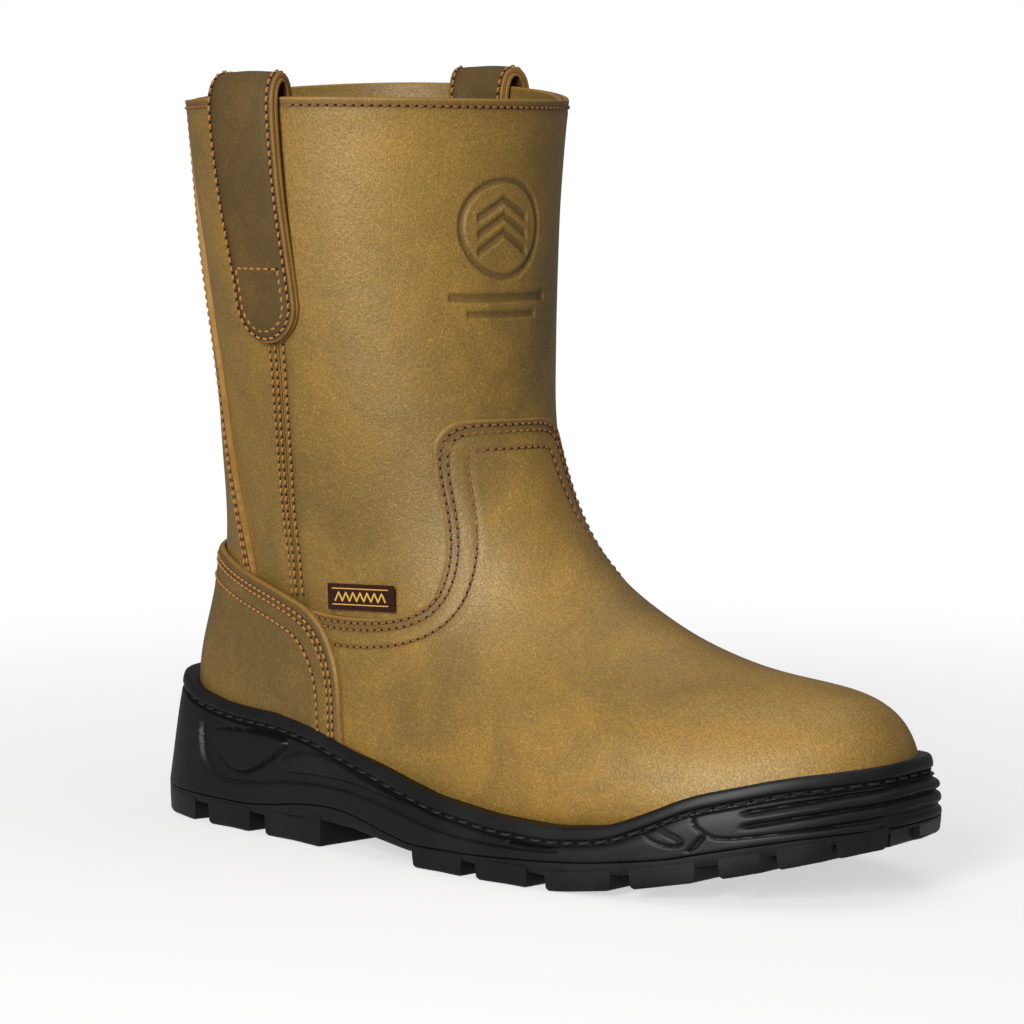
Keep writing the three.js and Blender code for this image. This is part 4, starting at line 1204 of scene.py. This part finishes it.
class BootColours(bpy.types.PropertyGroup):
    """Colours of the finishes."""

    leather_gold: colour_field("Leather gold", "Main leather colour", (0.236, 0.127, 0.0205))
    leather_olive: colour_field("Leather olive", "Darker clouds in the leather", (0.130, 0.080, 0.0190))
    leather_amber: colour_field("Leather amber", "Warm patches in the leather", (0.285, 0.137, 0.0145))
    leather_light: colour_field("Leather light", "Pale specks in the grain", (0.46, 0.285, 0.070))
    # Dark colour for the grain specks and the darker strap and heel cover, and the painted shade beside
    # edges, along seams and in the pressed mark.
    leather_dark_and_painted_shade: colour_field("Leather shadow", "Darkening beside edges and seams", (0.040, 0.023, 0.008))
    leather_edge: colour_field("Leather edge", "Raw cut edges", (0.30, 0.145, 0.026))
    thread: colour_field("Upper thread", "Thread of the leather seams", (0.36, 0.145, 0.034))
    thread_pale: colour_field("Pale thread", "Thread of the side seams, straps and heel",
                              (0.43, 0.200, 0.050))
    thread_dark: colour_field("Upper thread shade", "Between the plies of that thread", (0.15, 0.052, 0.013))
    # Needle-hole colour: painted shade of the holes.
    needle_hole: colour_field("Needle hole", "Needle holes", (0.018, 0.008, 0.004))
    rubber: colour_field("Rubber", "Midsole and tread", (0.0045, 0.0045, 0.0047))
    sole_thread: colour_field("Sole thread", "Thread round the sole", (0.0055, 0.0055, 0.0055))
    lining: colour_field("Lining", "Lining cloth", (0.36, 0.29, 0.19))
    footbed: colour_field("Footbed cloth", "Top cloth of the footbed", (0.075, 0.082, 0.09))
    foam: colour_field("Footbed foam", "Foam of the footbed", (0.035, 0.037, 0.042))
    label: colour_field("Label", "Ground of the woven label", (0.036, 0.010, 0.008))
    label_yarn: colour_field("Label yarn", "Pattern yarn of the woven label", (0.78, 0.46, 0.05))
    steel: colour_field("Steel", "Toe cap and shank", (0.52, 0.53, 0.54))
    board: colour_field("Insole board", "Fibre board", (0.44, 0.31, 0.16))
    felt: colour_field("Felt", "Fillers between board and sole", (0.24, 0.16, 0.09))
    stiffener: colour_field("Heel stiffener", "Split leather stiffener", (0.30, 0.24, 0.17))
    floor: colour_field("Floor", "Studio floor", (0.86, 0.86, 0.86))


MATERIALS = {}


def finish(key, maker, *args, **options):
    """The named material, made the first time it is asked for."""
    if key not in MATERIALS:
        MATERIALS[key] = maker(key, *args, **options)
    return MATERIALS[key]


def upper_leather(colours):
    return finish("oiled_leather", leather_finish, colours)


def strap_leather(colours):
    return finish("oiled_leather_olive", leather_finish, colours, olive=0.13, shade_down=0.66)


def heel_leather(colours):
    return finish("oiled_leather_brown", leather_finish, colours, olive=0.04, shade_down=0.26)


def upper_thread(colours, pale=False):
    if pale:
        thread = finish("pale_thread_wax", thread_finish, colours.thread_pale, colours.thread)
    else:
        thread = finish("upper_thread_wax", thread_finish, colours.thread, colours.thread_dark)
    return [thread, finish("needle_hole_dark", hole_shade_finish, colours.needle_hole)]


def settle(obj, body, nodes=(), material=None):
    """Gives a new piece its material and body, and hides the frame nodes it stands for."""
    if material is not None:
        obj.data.materials.append(material)
    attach(obj, body)
    if nodes:
        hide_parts(*nodes)
    return obj


def steps(context):
    sizes = context.scene.boot_sizes
    return sizes.panel_step / MM, sizes


def panel_fractions(place, step):
    """Even fractions along and up a panel, finer at its rolled ends."""
    t = np.linspace(0, 1, 60)
    lengths = []
    for s_line, t_line in ((t, 0.5 + 0 * t), (0.5 + 0 * t, t)):
        u, v = place(s_line, t_line)
        lengths.append(arc_lengths(last_point(u, v))[-1])
    return spread(lengths[0], step, 2.0), spread(lengths[1], step, 2.0)


# ---------------------------------------------------------------- makers


class BootOperator(bpy.types.Operator):
    bl_options = {"REGISTER", "UNDO"}


class BOOT_OT_vamp(BootOperator):
    """Vamp with its rolled top edge and three rows of stitching"""

    bl_idname = "boot.vamp"
    bl_label = "Vamp"

    def execute(self, context):
        step, _ = steps(context)
        colours = context.scene.boot_colours

        def place(s, t):
            row = curve(VAMP_EDGE, s)
            v = 0.04 + (row[..., 1] - 0.04) * t
            blend = np.clip((v - 0.39) / np.maximum(row[..., 1] - 0.39, 0.02), 0, 1)
            return row[..., 2] + (row[..., 0] - row[..., 2]) * blend, v

        rows = vamp_rows()
        obj = leather_panel("vamp_leather", place, panel_fractions(place, step), MIDDLE, [vamp_top()],
                            roll=1.5, drop=1.2, grooves=rows)
        settle(obj, "boot", ["vamp"], upper_leather(colours))
        make_stitches("vamp_stitching", [row_on_last(r, 4.5) for r in rows], context)
        return {"FINISHED"}


def make_stitches(name, runs, context, pale=False):
    sizes, colours = context.scene.boot_sizes, context.scene.boot_colours
    options = dict(UPPER_STITCH, pitch=sizes.stitch_pitch / MM, radius=sizes.thread_radius / MM)
    obj = thread_object(name, runs, upper_thread(colours, pale), **options)
    return settle(obj, "boot")


MARK_CENTRE = (0.05, 0.866)
MARK_SCALE = 1.28


def pressed_mark(u, v, depth):
    """Plain pressed mark: a ring round three chevrons over two bars."""
    h = 0.004
    centre_u, centre_v = MARK_CENTRE
    per_u = np.linalg.norm(last_point(centre_u + h, centre_v) - last_point(centre_u - h, centre_v)) / (2 * h)
    per_v = np.linalg.norm(last_point(centre_u, centre_v + h) - last_point(centre_u, centre_v - h)) / (2 * h)
    x, y = -(u - centre_u) * per_u / MARK_SCALE, (v - centre_v) * per_v / MARK_SCALE
    ring = abs(np.hypot(x, y - 5) - 13.2) - 0.65
    chevrons = np.minimum.reduce([
        np.maximum(abs(y - 5 - lift + abs(x) * 0.62) - 0.95, abs(x) - 8.2) for lift in (7.6, 3.0, -1.6)])
    bars = np.minimum(np.maximum(abs(y + 13.4) - 0.9, abs(x) - 17),
                      np.maximum(abs(y + 17.6) - 0.6, abs(x) - 12))
    d = np.minimum.reduce([ring, chevrons, bars])
    return -depth * smooth_step(0.55, -0.25, d) + 0.1 * np.exp(-(((d - 0.9) / 0.6) ** 2))


class BOOT_OT_shaft_front(BootOperator):
    """Front of the shaft with its pressed mark, and grooves where the row of stitching under the topline
    runs
    """

    bl_idname = "boot.shaft_front"
    bl_label = "Shaft front"

    def execute(self, context):
        step, sizes = steps(context)
        colours = context.scene.boot_colours

        def low_v(s):
            v = np.full(np.shape(s), 0.5)
            for _ in range(8):
                v = table(SHAFT_FRONT_EDGE, s * table(SIDE_SEAM, v))
            return v

        def place(s, t):
            side = 2 * s - 1
            low = low_v(side)
            v = low + (1 - low) * t
            return side * (rounded_edge(SIDE_SEAM, v) - SEAM_GAP), v

        s, t = panel_fractions(place, step)
        fine = sizes.mark_step / MM
        s = np.unique(np.concatenate([s[(s < 0.43) | (s > 0.68)], np.linspace(0.43, 0.68, int(50 / fine))]))
        top = (0.76 - 0.698) / (1 - 0.698)
        t = np.unique(np.concatenate([t[(t < top) | (t > 0.86)], np.linspace(top, 0.86, int(52 / fine))]))
        edges = [seam_path(1, 0.44, 1), seam_path(-1, 0.44, 1),
                 np.stack([np.linspace(-0.5, 0.5, 300), np.ones(300)], -1)]
        rows = [seam_rows(1)[0], seam_rows(-1)[0], topline_row()]
        depth = sizes.mark_depth / MM
        obj = leather_panel("shaft_front_leather", place, (s, t), INNER, edges, roll=0.5, drop=0.35,
                            grooves=rows, relief=lambda u, v: pressed_mark(u, v, depth))
        settle(obj, "boot", ["shaft_front"], upper_leather(colours))
        return {"FINISHED"}


class BOOT_OT_quarters(BootOperator):
    """Two back quarters, their side seams and the topline stitching"""

    bl_idname = "boot.quarters"
    bl_label = "Back quarters"

    def execute(self, context):
        step, _ = steps(context)
        colours = context.scene.boot_colours
        for side, name in ((1, "lateral"), (-1, "medial")):

            def place(s, t, side=side):
                v = 0.33 + 0.67 * t
                start = rounded_edge(SIDE_SEAM, v) + SEAM_GAP
                return side * (start + (0.9985 - start) * s), v

            def layer(v):
                lift = (MIDDLE[0] - INNER[0]) * (1 - smooth_step(0.36, 0.42, v))
                return INNER[0] + lift, INNER[1] + lift

            top = np.stack([side * np.linspace(0.48, 1, 200), np.ones(200)], -1)
            obj = leather_panel(f"quarter_{name}_leather", place, panel_fractions(place, step), layer,
                                [seam_path(side, 0.38, 1), top], roll=0.5, drop=0.35,
                                grooves=seam_rows(side)[1:] + [topline_row()])
            settle(obj, "boot", [f"quarter_{name}"], upper_leather(colours))
            seams = [row_on_last(crop(r, r[:, 1] < 0.79), 2.15) for r in seam_rows(side)]
            make_stitches(f"side_seam_{name}_stitching", seams, context, True)
        row = topline_row()
        hidden = np.abs(np.abs(row[:, 0]) - STRAP_CENTRE_U) < STRAP_HALF_U + 0.004
        runs, start = [], 0
        for i in range(1, len(row) + 1):
            if i == len(row) or hidden[i] != hidden[start]:
                if not hidden[start] and i - start > 4:
                    runs.append(row_on_last(row[start:i], 2.15))
                start = i
        make_stitches("topline_stitching", runs, context)
        return {"FINISHED"}


class BOOT_OT_backstay(BootOperator):
    """Backstay strip down the back seam"""

    bl_idname = "boot.backstay"
    bl_label = "Backstay"

    def execute(self, context):
        step, _ = steps(context)

        def place(s, t):
            v = BACKSTAY_LOW + (BACKSTAY_HIGH - BACKSTAY_LOW) * t
            edge = rounded_edge(BACKSTAY_EDGE, v)
            return edge + (2 - 2 * edge) * s, v

        medial = backstay_path(1)
        medial[:, 0] = 2 - medial[:, 0]
        top = np.stack([np.linspace(0.84, 1.16, 200), np.full(200, BACKSTAY_HIGH)], -1)
        rows = backstay_rows(1) + backstay_rows(-1)
        obj = leather_panel("backstay_leather", place, panel_fractions(place, step), BACKSTAY,
                            [backstay_path(1), medial, top], roll=1.1, drop=0.9, grooves=rows)
        settle(obj, "boot", ["backstay"], upper_leather(context.scene.boot_colours))
        make_stitches("backstay_stitching", [row_on_last(r, 4.2) for r in rows], context, True)
        return {"FINISHED"}


class BOOT_OT_heel_cover(BootOperator):
    """Outer heel cover with its wide rolled edge and three rows of stitching"""

    bl_idname = "boot.heel_cover"
    bl_label = "Heel cover"

    def execute(self, context):
        step, _ = steps(context)

        def place(s, t):
            side = 2 * s - 1
            row = curve(COVER_EDGE, 1 - np.abs(side))
            u = np.where(side < 0, row[..., 0], 2 - row[..., 0])
            return u, 0.11 + (row[..., 1] - 0.11) * t

        s = np.linspace(0, 1, 341)
        t = panel_fractions(place, step * 0.8)[1]
        rows = cover_rows()
        obj = leather_panel("heel_cover_leather", place, (s, t), COVER, [cover_top()],
                            roll=2.4, drop=1.7, grooves=rows)
        settle(obj, "boot", ["counter_cover"], heel_leather(context.scene.boot_colours))
        make_stitches("heel_cover_stitching", [row_on_last(r, 6.8) for r in rows], context, True)
        return {"FINISHED"}


class BOOT_OT_straps(BootOperator):
    """Two pull straps, each a backing and a face sewn through"""

    bl_idname = "boot.straps"
    bl_label = "Pull straps"

    def execute(self, context):
        leather = strap_leather(context.scene.boot_colours)
        for side, name in ((1, "lateral"), (-1, "medial")):
            back = strap_layer(f"strap_{name}_backing", side, STRAP_BACKING, 0.0, 0.0)
            settle(back, "boot", [f"strap_backing_{name}"], leather)
            face = strap_layer(f"strap_{name}_face", side, STRAP_FACE, 0.35, 0.35)
            settle(face, "boot", [f"strap_face_{name}"], leather)
            make_stitches(f"strap_{name}_stitching", strap_rows(side, STRAP_FACE[1] + 0.12), context, True)
        return {"FINISHED"}


def lining_ring(name, low, high, faces, step, pillow, raw_top=False):
    """Ring of lining between two heights on the last, a little uneven where it is not glued."""
    count = int(430 / step)
    fine = np.linspace(-1, 1, 4001)
    lengths = arc_lengths(last_point(fine, np.full(4001, (low + high) / 2)))
    u = np.interp(np.linspace(0, lengths[-1], count, endpoint=False), lengths, fine)
    rise = np.linalg.norm(last_point(0.9, high) - last_point(0.9, low))
    t = spread(max(rise, 12), step, 1.0)
    uu, vv = np.meshgrid(u, low + (high - low) * t, indexing="ij")
    base, normal = last_point(uu, vv), last_normal(uu, vv)
    edge = np.broadcast_to(np.minimum(t, 1 - t)[None, :] * rise, uu.shape)
    drop = edge_drop(edge, 0.8, 0.6)
    puff = pillow * ripple(base)
    outer = base + normal * (faces[1] - raw_top * drop)[..., None]
    inner = base + normal * (faces[0] + drop + puff)[..., None]
    return shell(name, outer, inner, True, {"edge": edge, "seam": np.full(uu.shape, FAR)})


class BOOT_OT_linings(BootOperator):
    """Cloth linings and the leather facing inside the topline"""

    bl_idname = "boot.linings"
    bl_label = "Linings and facing"

    def execute(self, context):
        colours = context.scene.boot_colours
        cloth = finish("lining_weave", cloth_finish, colours.lining, times(colours.lining, 0.45))
        low = lining_ring("vamp_lining_cloth", 0.07, 0.572, LINING, 2.6, 1.2)
        settle(low, "boot", ["vamp_lining"], cloth)
        high = lining_ring("shaft_lining_cloth", 0.574, 0.903, LINING, 2.4, 1.2)
        settle(high, "boot", ["shaft_lining"], cloth)
        facing = lining_ring("topline_facing_leather", 0.905, 1.0, FACING, 1.5, 0.5, raw_top=True)
        settle(facing, "boot", ["topline_facing"], upper_leather(colours))
        return {"FINISHED"}


class BOOT_OT_midsole(BootOperator):
    """Moulded cup with its rim, stitch groove and side pattern"""

    bl_idname = "boot.midsole"
    bl_label = "Midsole"

    def execute(self, context):
        rubber = finish("moulded_rubber", rubber_finish, context.scene.boot_colours.rubber)
        grid, u = midsole_grid(context.scene.boot_sizes.sole_columns)
        start = -int(np.argmin(np.abs(u)))
        obj = closed_loft("midsole_cup", np.roll(grid, start, 0))
        settle(obj, "boot", ["midsole"], rubber)
        return {"FINISHED"}


class BOOT_OT_sole_stitching(BootOperator):
    """Stitches lying in the groove round the sole"""

    bl_idname = "boot.sole_stitching"
    bl_label = "Sole stitching"

    def execute(self, context):
        sizes, colours = context.scene.boot_sizes, context.scene.boot_colours
        u = np.linspace(-1, 1, 4001)[:-1]
        x, y, base = plan_point(u, -2.55)
        points = np.stack([x, y, soft_table(RIM_HEIGHT, base, 6) - 5.2], -1)
        points = points[np.concatenate([[True], np.diff(arc_lengths(points) // 0.9) > 0])]
        run = unit(np.gradient(points, axis=0))
        normal = unit(np.stack([run[:, 1], -run[:, 0], 0 * run[:, 0]], -1))
        middle = points - np.array([152, 0, 0])
        normal *= np.sign((normal[:, :2] * middle[:, :2]).sum(1))[:, None]
        thread = colours.sole_thread
        # The needle-hole plugs of the sole are painted shade as well.
        materials = [finish("sole_thread_wax", thread_finish, thread, times(thread, 0.5)),
                     finish("sole_hole_dark", hole_shade_finish, (0.004, 0.004, 0.004))]
        obj = thread_object("sole_stitches", [(points, normal)], materials,
                            **dict(SOLE_STITCH, pitch=sizes.sole_pitch / MM))
        settle(obj, "boot", ["sole_thread"])
        return {"FINISHED"}


def join_blocks(name, blocks):
    """One object from several closed bodies given as (points, faces)."""
    points, faces, total = [], [], 0
    for block, block_faces in blocks:
        faces += [tuple(i + total for i in f) for f in block_faces]
        points.append(block)
        total += len(block)
    return new_object(name, to_frame(np.concatenate(points)), faces)


class BOOT_OT_tread(BootOperator):
    """Tread plate and its lugs"""

    bl_idname = "boot.tread"
    bl_label = "Tread"

    def execute(self, context):
        colours = context.scene.boot_colours
        rubber = finish("tread_rubber_skin", rubber_finish, colours.rubber, dust=0.2)
        plate = closed_loft("tread_plate", tread_base(context.scene.boot_sizes.sole_columns // 2))
        settle(plate, "boot", ["outsole"], rubber)
        lugs = join_blocks("tread_lugs", tread_lugs())
        settle(lugs, "boot", (), rubber)
        return {"FINISHED"}


def bed_ring(inset_by):
    back, front, width, height, power, bend = RINGS[1]
    return (back + inset_by + 1, front - inset_by - 1, [w - inset_by for w in width], height, power, bend)


def seat_height(x):
    back, front, _, height, _, _ = RINGS[1]
    return bernstein(height, (x - back) / (front - back))


def bed_slab(name, inset_by, low, high, dish, round_top):
    """Slab that follows the seat: rounded rim, dished heel and a raised arch side."""
    u = np.linspace(-1, 1, 240, endpoint=False)
    u = np.roll(u, -120)
    ring = bed_ring(inset_by)
    rim = ring_point(ring, u)
    spine = np.clip(rim[:, 0], ring[0] + 22, ring[1] - 30)
    centre = np.stack([spine, bernstein(FOOT_BEND, (spine - ring[0]) / (ring[1] - ring[0]))], -1)

    def row(share, z_low, extra=0.0):
        xy = centre + (rim[:, :2] - centre) * share
        heel = 1 - smooth_step(40, 130, xy[:, 0])
        arch = np.exp(-(((xy[:, 0] - 120) / 40) ** 2)) * smooth_step(0, 30, xy[:, 1])
        z = seat_height(xy[:, 0]) + z_low + extra * (dish * (share**2 - 0.6) * heel + 0.9 * arch * share)
        return np.stack([xy[:, 0], xy[:, 1], z], -1)

    under = (0.05, 0.3, 0.55, 0.78, 0.93, 0.985)
    over = (0.965, 0.93, 0.86, 0.78, 0.66, 0.55, 0.42, 0.3, 0.17, 0.05)
    rows = [row(share, low) for share in under]
    rows += [row(1.0, low + 0.25), row(1.0, high - round_top), row(0.99, high - 0.3 * round_top, 0.9)]
    rows += [row(share, high, 1.0) for share in over]
    return closed_loft(name, np.stack(rows, 1))


class BOOT_OT_footbed(BootOperator):
    """Foam footbed and its cloth cover, which lift out together"""

    bl_idname = "boot.footbed"
    bl_label = "Footbed"

    def execute(self, context):
        colours = context.scene.boot_colours
        foam = bed_slab("footbed_foam_pad", 4.2, 4.6, 9.4, 1.2, 1.4)
        settle(foam, "footbed", ["footbed_foam"],
               finish("footbed_foam_pores", foam_finish, colours.foam))
        cover = bed_slab("footbed_cloth_top", 4.0, 9.45, 10.4, 1.2, 0.5)
        settle(cover, "footbed", ["footbed_cover"],
               finish("footbed_weave", cloth_finish, colours.footbed, times(colours.footbed, 0.4)))
        return {"FINISHED"}


def label_axes():
    u, v = 0.543, 0.491
    normal = last_normal(u, v)
    along = unit(last_point(u - 0.05, v + 0.017) - last_point(u + 0.05, v - 0.017))
    up = unit(np.cross(along, normal))
    up = up if up[2] > 0 else -up
    out = unit(np.cross(up, along))
    out = out if out @ normal > 0 else -out
    return on_last(u, v, 2.9), along, up, out


def label_point(a, b, c):
    """Point of the label: a along it, b up it and c out from the leather, in millimetres."""
    low, along, up, out = label_axes()
    a, b, c = (np.asarray(value)[..., None] for value in (a, b, c))
    return low + a * along + b * up + c * out


LABEL_HALF, LABEL_HEIGHT, LABEL_LIFT = 14.5, 9, 0.42


def label_wave(a, b):
    """Slow unevenness of the label's face."""
    return 0.10 * np.sin(a / 3.1) + 0.06 * np.sin(b * 1.3 + a / 5)


class BOOT_OT_label(BootOperator):
    """Folded woven label with a plain zigzag between two lines"""

    bl_idname = "boot.label"
    bl_label = "Side label"

    def execute(self, context):
        colours = context.scene.boot_colours
        a = (2 * spread(2 * LABEL_HALF, 0.5, 0.5) - 1) * LABEL_HALF
        b = spread(LABEL_HEIGHT, 0.45, 0.4) * LABEL_HEIGHT
        aa, bb = np.meshgrid(a, b, indexing="ij")
        round_off = np.minimum(np.minimum(LABEL_HALF - abs(aa), LABEL_HEIGHT - bb), 0.4)
        thick = LABEL_LIFT * np.sqrt(np.clip(round_off / 0.4, 0.02, 1))
        outer = label_point(aa, bb, LABEL_LIFT + thick + 0.4 * label_wave(aa, bb))
        inner = label_point(aa, bb, LABEL_LIFT - thick)
        body = shell("side_label_cloth", outer, inner)
        settle(body, "label", ["side_label"],
               finish("label_weave", cloth_finish, colours.label, times(colours.label, 0.4), 1500.0, 0.0))
        zig = np.array([(x, 4.6 + (1.5 if k % 2 else -1.5)) for k, x in enumerate(np.linspace(-11, 11, 15))])
        bars = [np.array([(-12.2, b), (12.2, b)]) for b in (7.4, 1.9)]
        blocks = [ribbon(line, half, 0.92, 0.16) for line, half in zip((zig, *bars), (0.36, 0.22, 0.22))]
        yarn = join_blocks("side_label_yarn", blocks)
        settle(yarn, "label", (),
               finish("label_yarn_weave", thread_finish, colours.label_yarn,
                      times(colours.label_yarn, 0.5)))
        return {"FINISHED"}


def ribbon(line, half, lift, thick):
    """Flat raised yarn along a line on the label."""
    fine = []
    for p, q in zip(line[:-1], line[1:]):
        fine += [p + (q - p) * f for f in np.linspace(0, 1, 8, endpoint=False)]
    fine = np.array(fine + [line[-1]])
    run = unit(np.gradient(fine, axis=0))
    side = np.stack([-run[:, 1], run[:, 0]], -1)
    swell = 0.4 * label_wave(fine[:, 0], fine[:, 1])
    rows = []
    for across, up in ((-1, -0.1), (-0.8, thick * 0.8), (0, thick), (0.8, thick * 0.8), (1, -0.1)):
        xy = fine + side * half * across
        rows.append(label_point(xy[:, 0], xy[:, 1], lift - 0.1 + up + swell))
    grid = np.stack(rows, 1)
    n, m = grid.shape[:2]
    faces = [tuple(f) for f in grid_faces(n, m).tolist()]
    faces += [(i * m, (i + 1) * m, (i + 1) * m + m - 1, i * m + m - 1) for i in range(n - 1)]
    faces += [tuple(range(m)), tuple((n - 1) * m + k for k in reversed(range(m)))]
    return grid.reshape(-1, 3), faces


class BOOT_OT_hidden_parts(BootOperator):
    """Finishes for the steel, felt and board inside, whose frame shapes are kept"""

    bl_idname = "boot.hidden_parts"
    bl_label = "Hidden parts"

    def execute(self, context):
        colours = context.scene.boot_colours
        steel = finish("pressed_steel", steel_finish, colours.steel)
        felt = finish("filler_felt", felt_finish, colours.felt, times(colours.felt, 0.5))
        board = finish("fibre_board_face", felt_finish, colours.board, times(colours.board, 0.7))
        split = finish("split_leather_nap", felt_finish, colours.stiffener, times(colours.stiffener, 0.6))
        strip = finish("edge_strip_rubber", rubber_finish, (0.02, 0.02, 0.02))
        kept = {"toe_cap": steel, "shank": steel, "toe_cap_edge_strip": strip, "heel_counter": split,
                "insole_board": board, "heel_filler": felt, "forepart_filler": felt}
        for node, material in kept.items():
            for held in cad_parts[node].material_slots:
                held.material = material
        return {"FINISHED"}


CAMERA_SPOT = Vector((0.7267, -0.9451, 0.2412))
CAMERA_AIM = Vector((-0.00685, -0.0029, 0.122))
CAMERA_LENS, CAMERA_SHIFT = 122.8, -0.0166
FLOOR_HALF = 4.0

AMBIENT, BACKDROP = 0.22, 1.0
# Name, place, size, power in watts and aim of each light.
LIGHTS = [
    ("key_softbox", (0.42, -1.45, 0.62), (0.5, 0.9), 32.0, (0.0, 0.0, 0.12)),
    ("fill_softbox", (1.7, -0.2, 0.9), (0.8, 0.8), 2.0, (0.05, 0.0, 0.08)),
    ("top_softbox", (0.1, 0.1, 2.0), (1.6, 1.6), 12.0, (0.0, 0.0, 0.0)),
]


class BOOT_OT_stage(BootOperator):
    """Pale floor, soft studio lights and the camera"""

    bl_idname = "boot.stage"
    bl_label = "Stage"

    def execute(self, context):
        scene, colours = context.scene, context.scene.boot_colours
        data = bpy.data.cameras.new("camera")
        data.lens, data.sensor_width = CAMERA_LENS, 36.0
        data.shift_y = CAMERA_SHIFT
        data.clip_start, data.clip_end = 0.02, 60
        camera = bpy.data.objects.new("camera", data)
        camera.location = CAMERA_SPOT
        camera.rotation_mode = "QUATERNION"
        camera.rotation_quaternion = (CAMERA_AIM - CAMERA_SPOT).to_track_quat("-Z", "Y")
        scene.collection.objects.link(camera)
        scene.camera = camera
        corners = [(x * FLOOR_HALF, y * FLOOR_HALF, 0) for x, y in ((-1, -1), (1, -1), (1, 1), (-1, 1))]
        mesh = bpy.data.meshes.new("studio_floor")
        mesh.from_pydata(corners, [], [(0, 1, 2, 3)])
        floor = bpy.data.objects.new("studio_floor", mesh)
        scene.collection.objects.link(floor)
        f = Finish("floor_paint")
        away = (f.part(0) ** 2.0 + f.part(1) ** 2.0) ** 0.5
        mesh.materials.append(f.set(Base_Color=rgb(colours.floor), Roughness=0.9,
                                    Alpha=0.42 * (1 - away.ramp(0.17, 0.7))))
        for name, spot, size, power, aim in LIGHTS:
            light = bpy.data.lights.new(name, "AREA")
            light.shape, light.size, light.size_y, light.energy = "RECTANGLE", *size, power
            lamp = bpy.data.objects.new(name, light)
            lamp.location = spot
            lamp.rotation_mode = "QUATERNION"
            lamp.rotation_quaternion = (Vector(aim) - Vector(spot)).to_track_quat("-Z", "Y")
            scene.collection.objects.link(lamp)
        world = bpy.data.worlds.new("studio")
        scene.world = world
        world.use_nodes = True
        start = Wire(world.node_tree, None)
        back = next(n for n in world.node_tree.nodes if n.type == "BACKGROUND")
        back.inputs["Color"].default_value = (1, 1, 1, 1)
        seen = start.node("ShaderNodeLightPath", outlet=0)
        world.node_tree.links.new((AMBIENT + (BACKDROP - AMBIENT) * seen).socket, back.inputs["Strength"])
        scene.view_settings.view_transform = "Standard"
        return {"FINISHED"}


OPERATORS = (BOOT_OT_stage, BOOT_OT_hidden_parts, BOOT_OT_linings, BOOT_OT_footbed, BOOT_OT_shaft_front,
             BOOT_OT_quarters, BOOT_OT_backstay, BOOT_OT_vamp, BOOT_OT_heel_cover, BOOT_OT_straps,
             BOOT_OT_label, BOOT_OT_midsole, BOOT_OT_sole_stitching, BOOT_OT_tread)


class BOOT_PT_panel(bpy.types.Panel):
    """Sidebar panel with the boot's sizes, colours and makers"""

    bl_idname = "BOOT_PT_panel"
    bl_label = "Pull-on safety boot"
    bl_space_type = "VIEW_3D"
    bl_region_type = "UI"
    bl_category = "Boot"

    def draw(self, context):
        column = self.layout.column(align=True)
        for group in (context.scene.boot_sizes, context.scene.boot_colours):
            for label in group.__annotations__:
                column.prop(group, label)
        for operator in OPERATORS:
            column.operator(operator.bl_idname)


CLASSES = (BootSizes, BootColours, *OPERATORS, BOOT_PT_panel)


def register():
    for item in CLASSES:
        bpy.utils.register_class(item)
    bpy.types.Scene.boot_sizes = bpy.props.PointerProperty(type=BootSizes)
    bpy.types.Scene.boot_colours = bpy.props.PointerProperty(type=BootColours)


def unregister():
    del bpy.types.Scene.boot_colours
    del bpy.types.Scene.boot_sizes
    for item in reversed(CLASSES):
        bpy.utils.unregister_class(item)


def main():
    register()
    for operator in OPERATORS:
        group, name = operator.bl_idname.split(".")
        getattr(getattr(bpy.ops, group), name)()


if __name__ == "__main__":
    main()
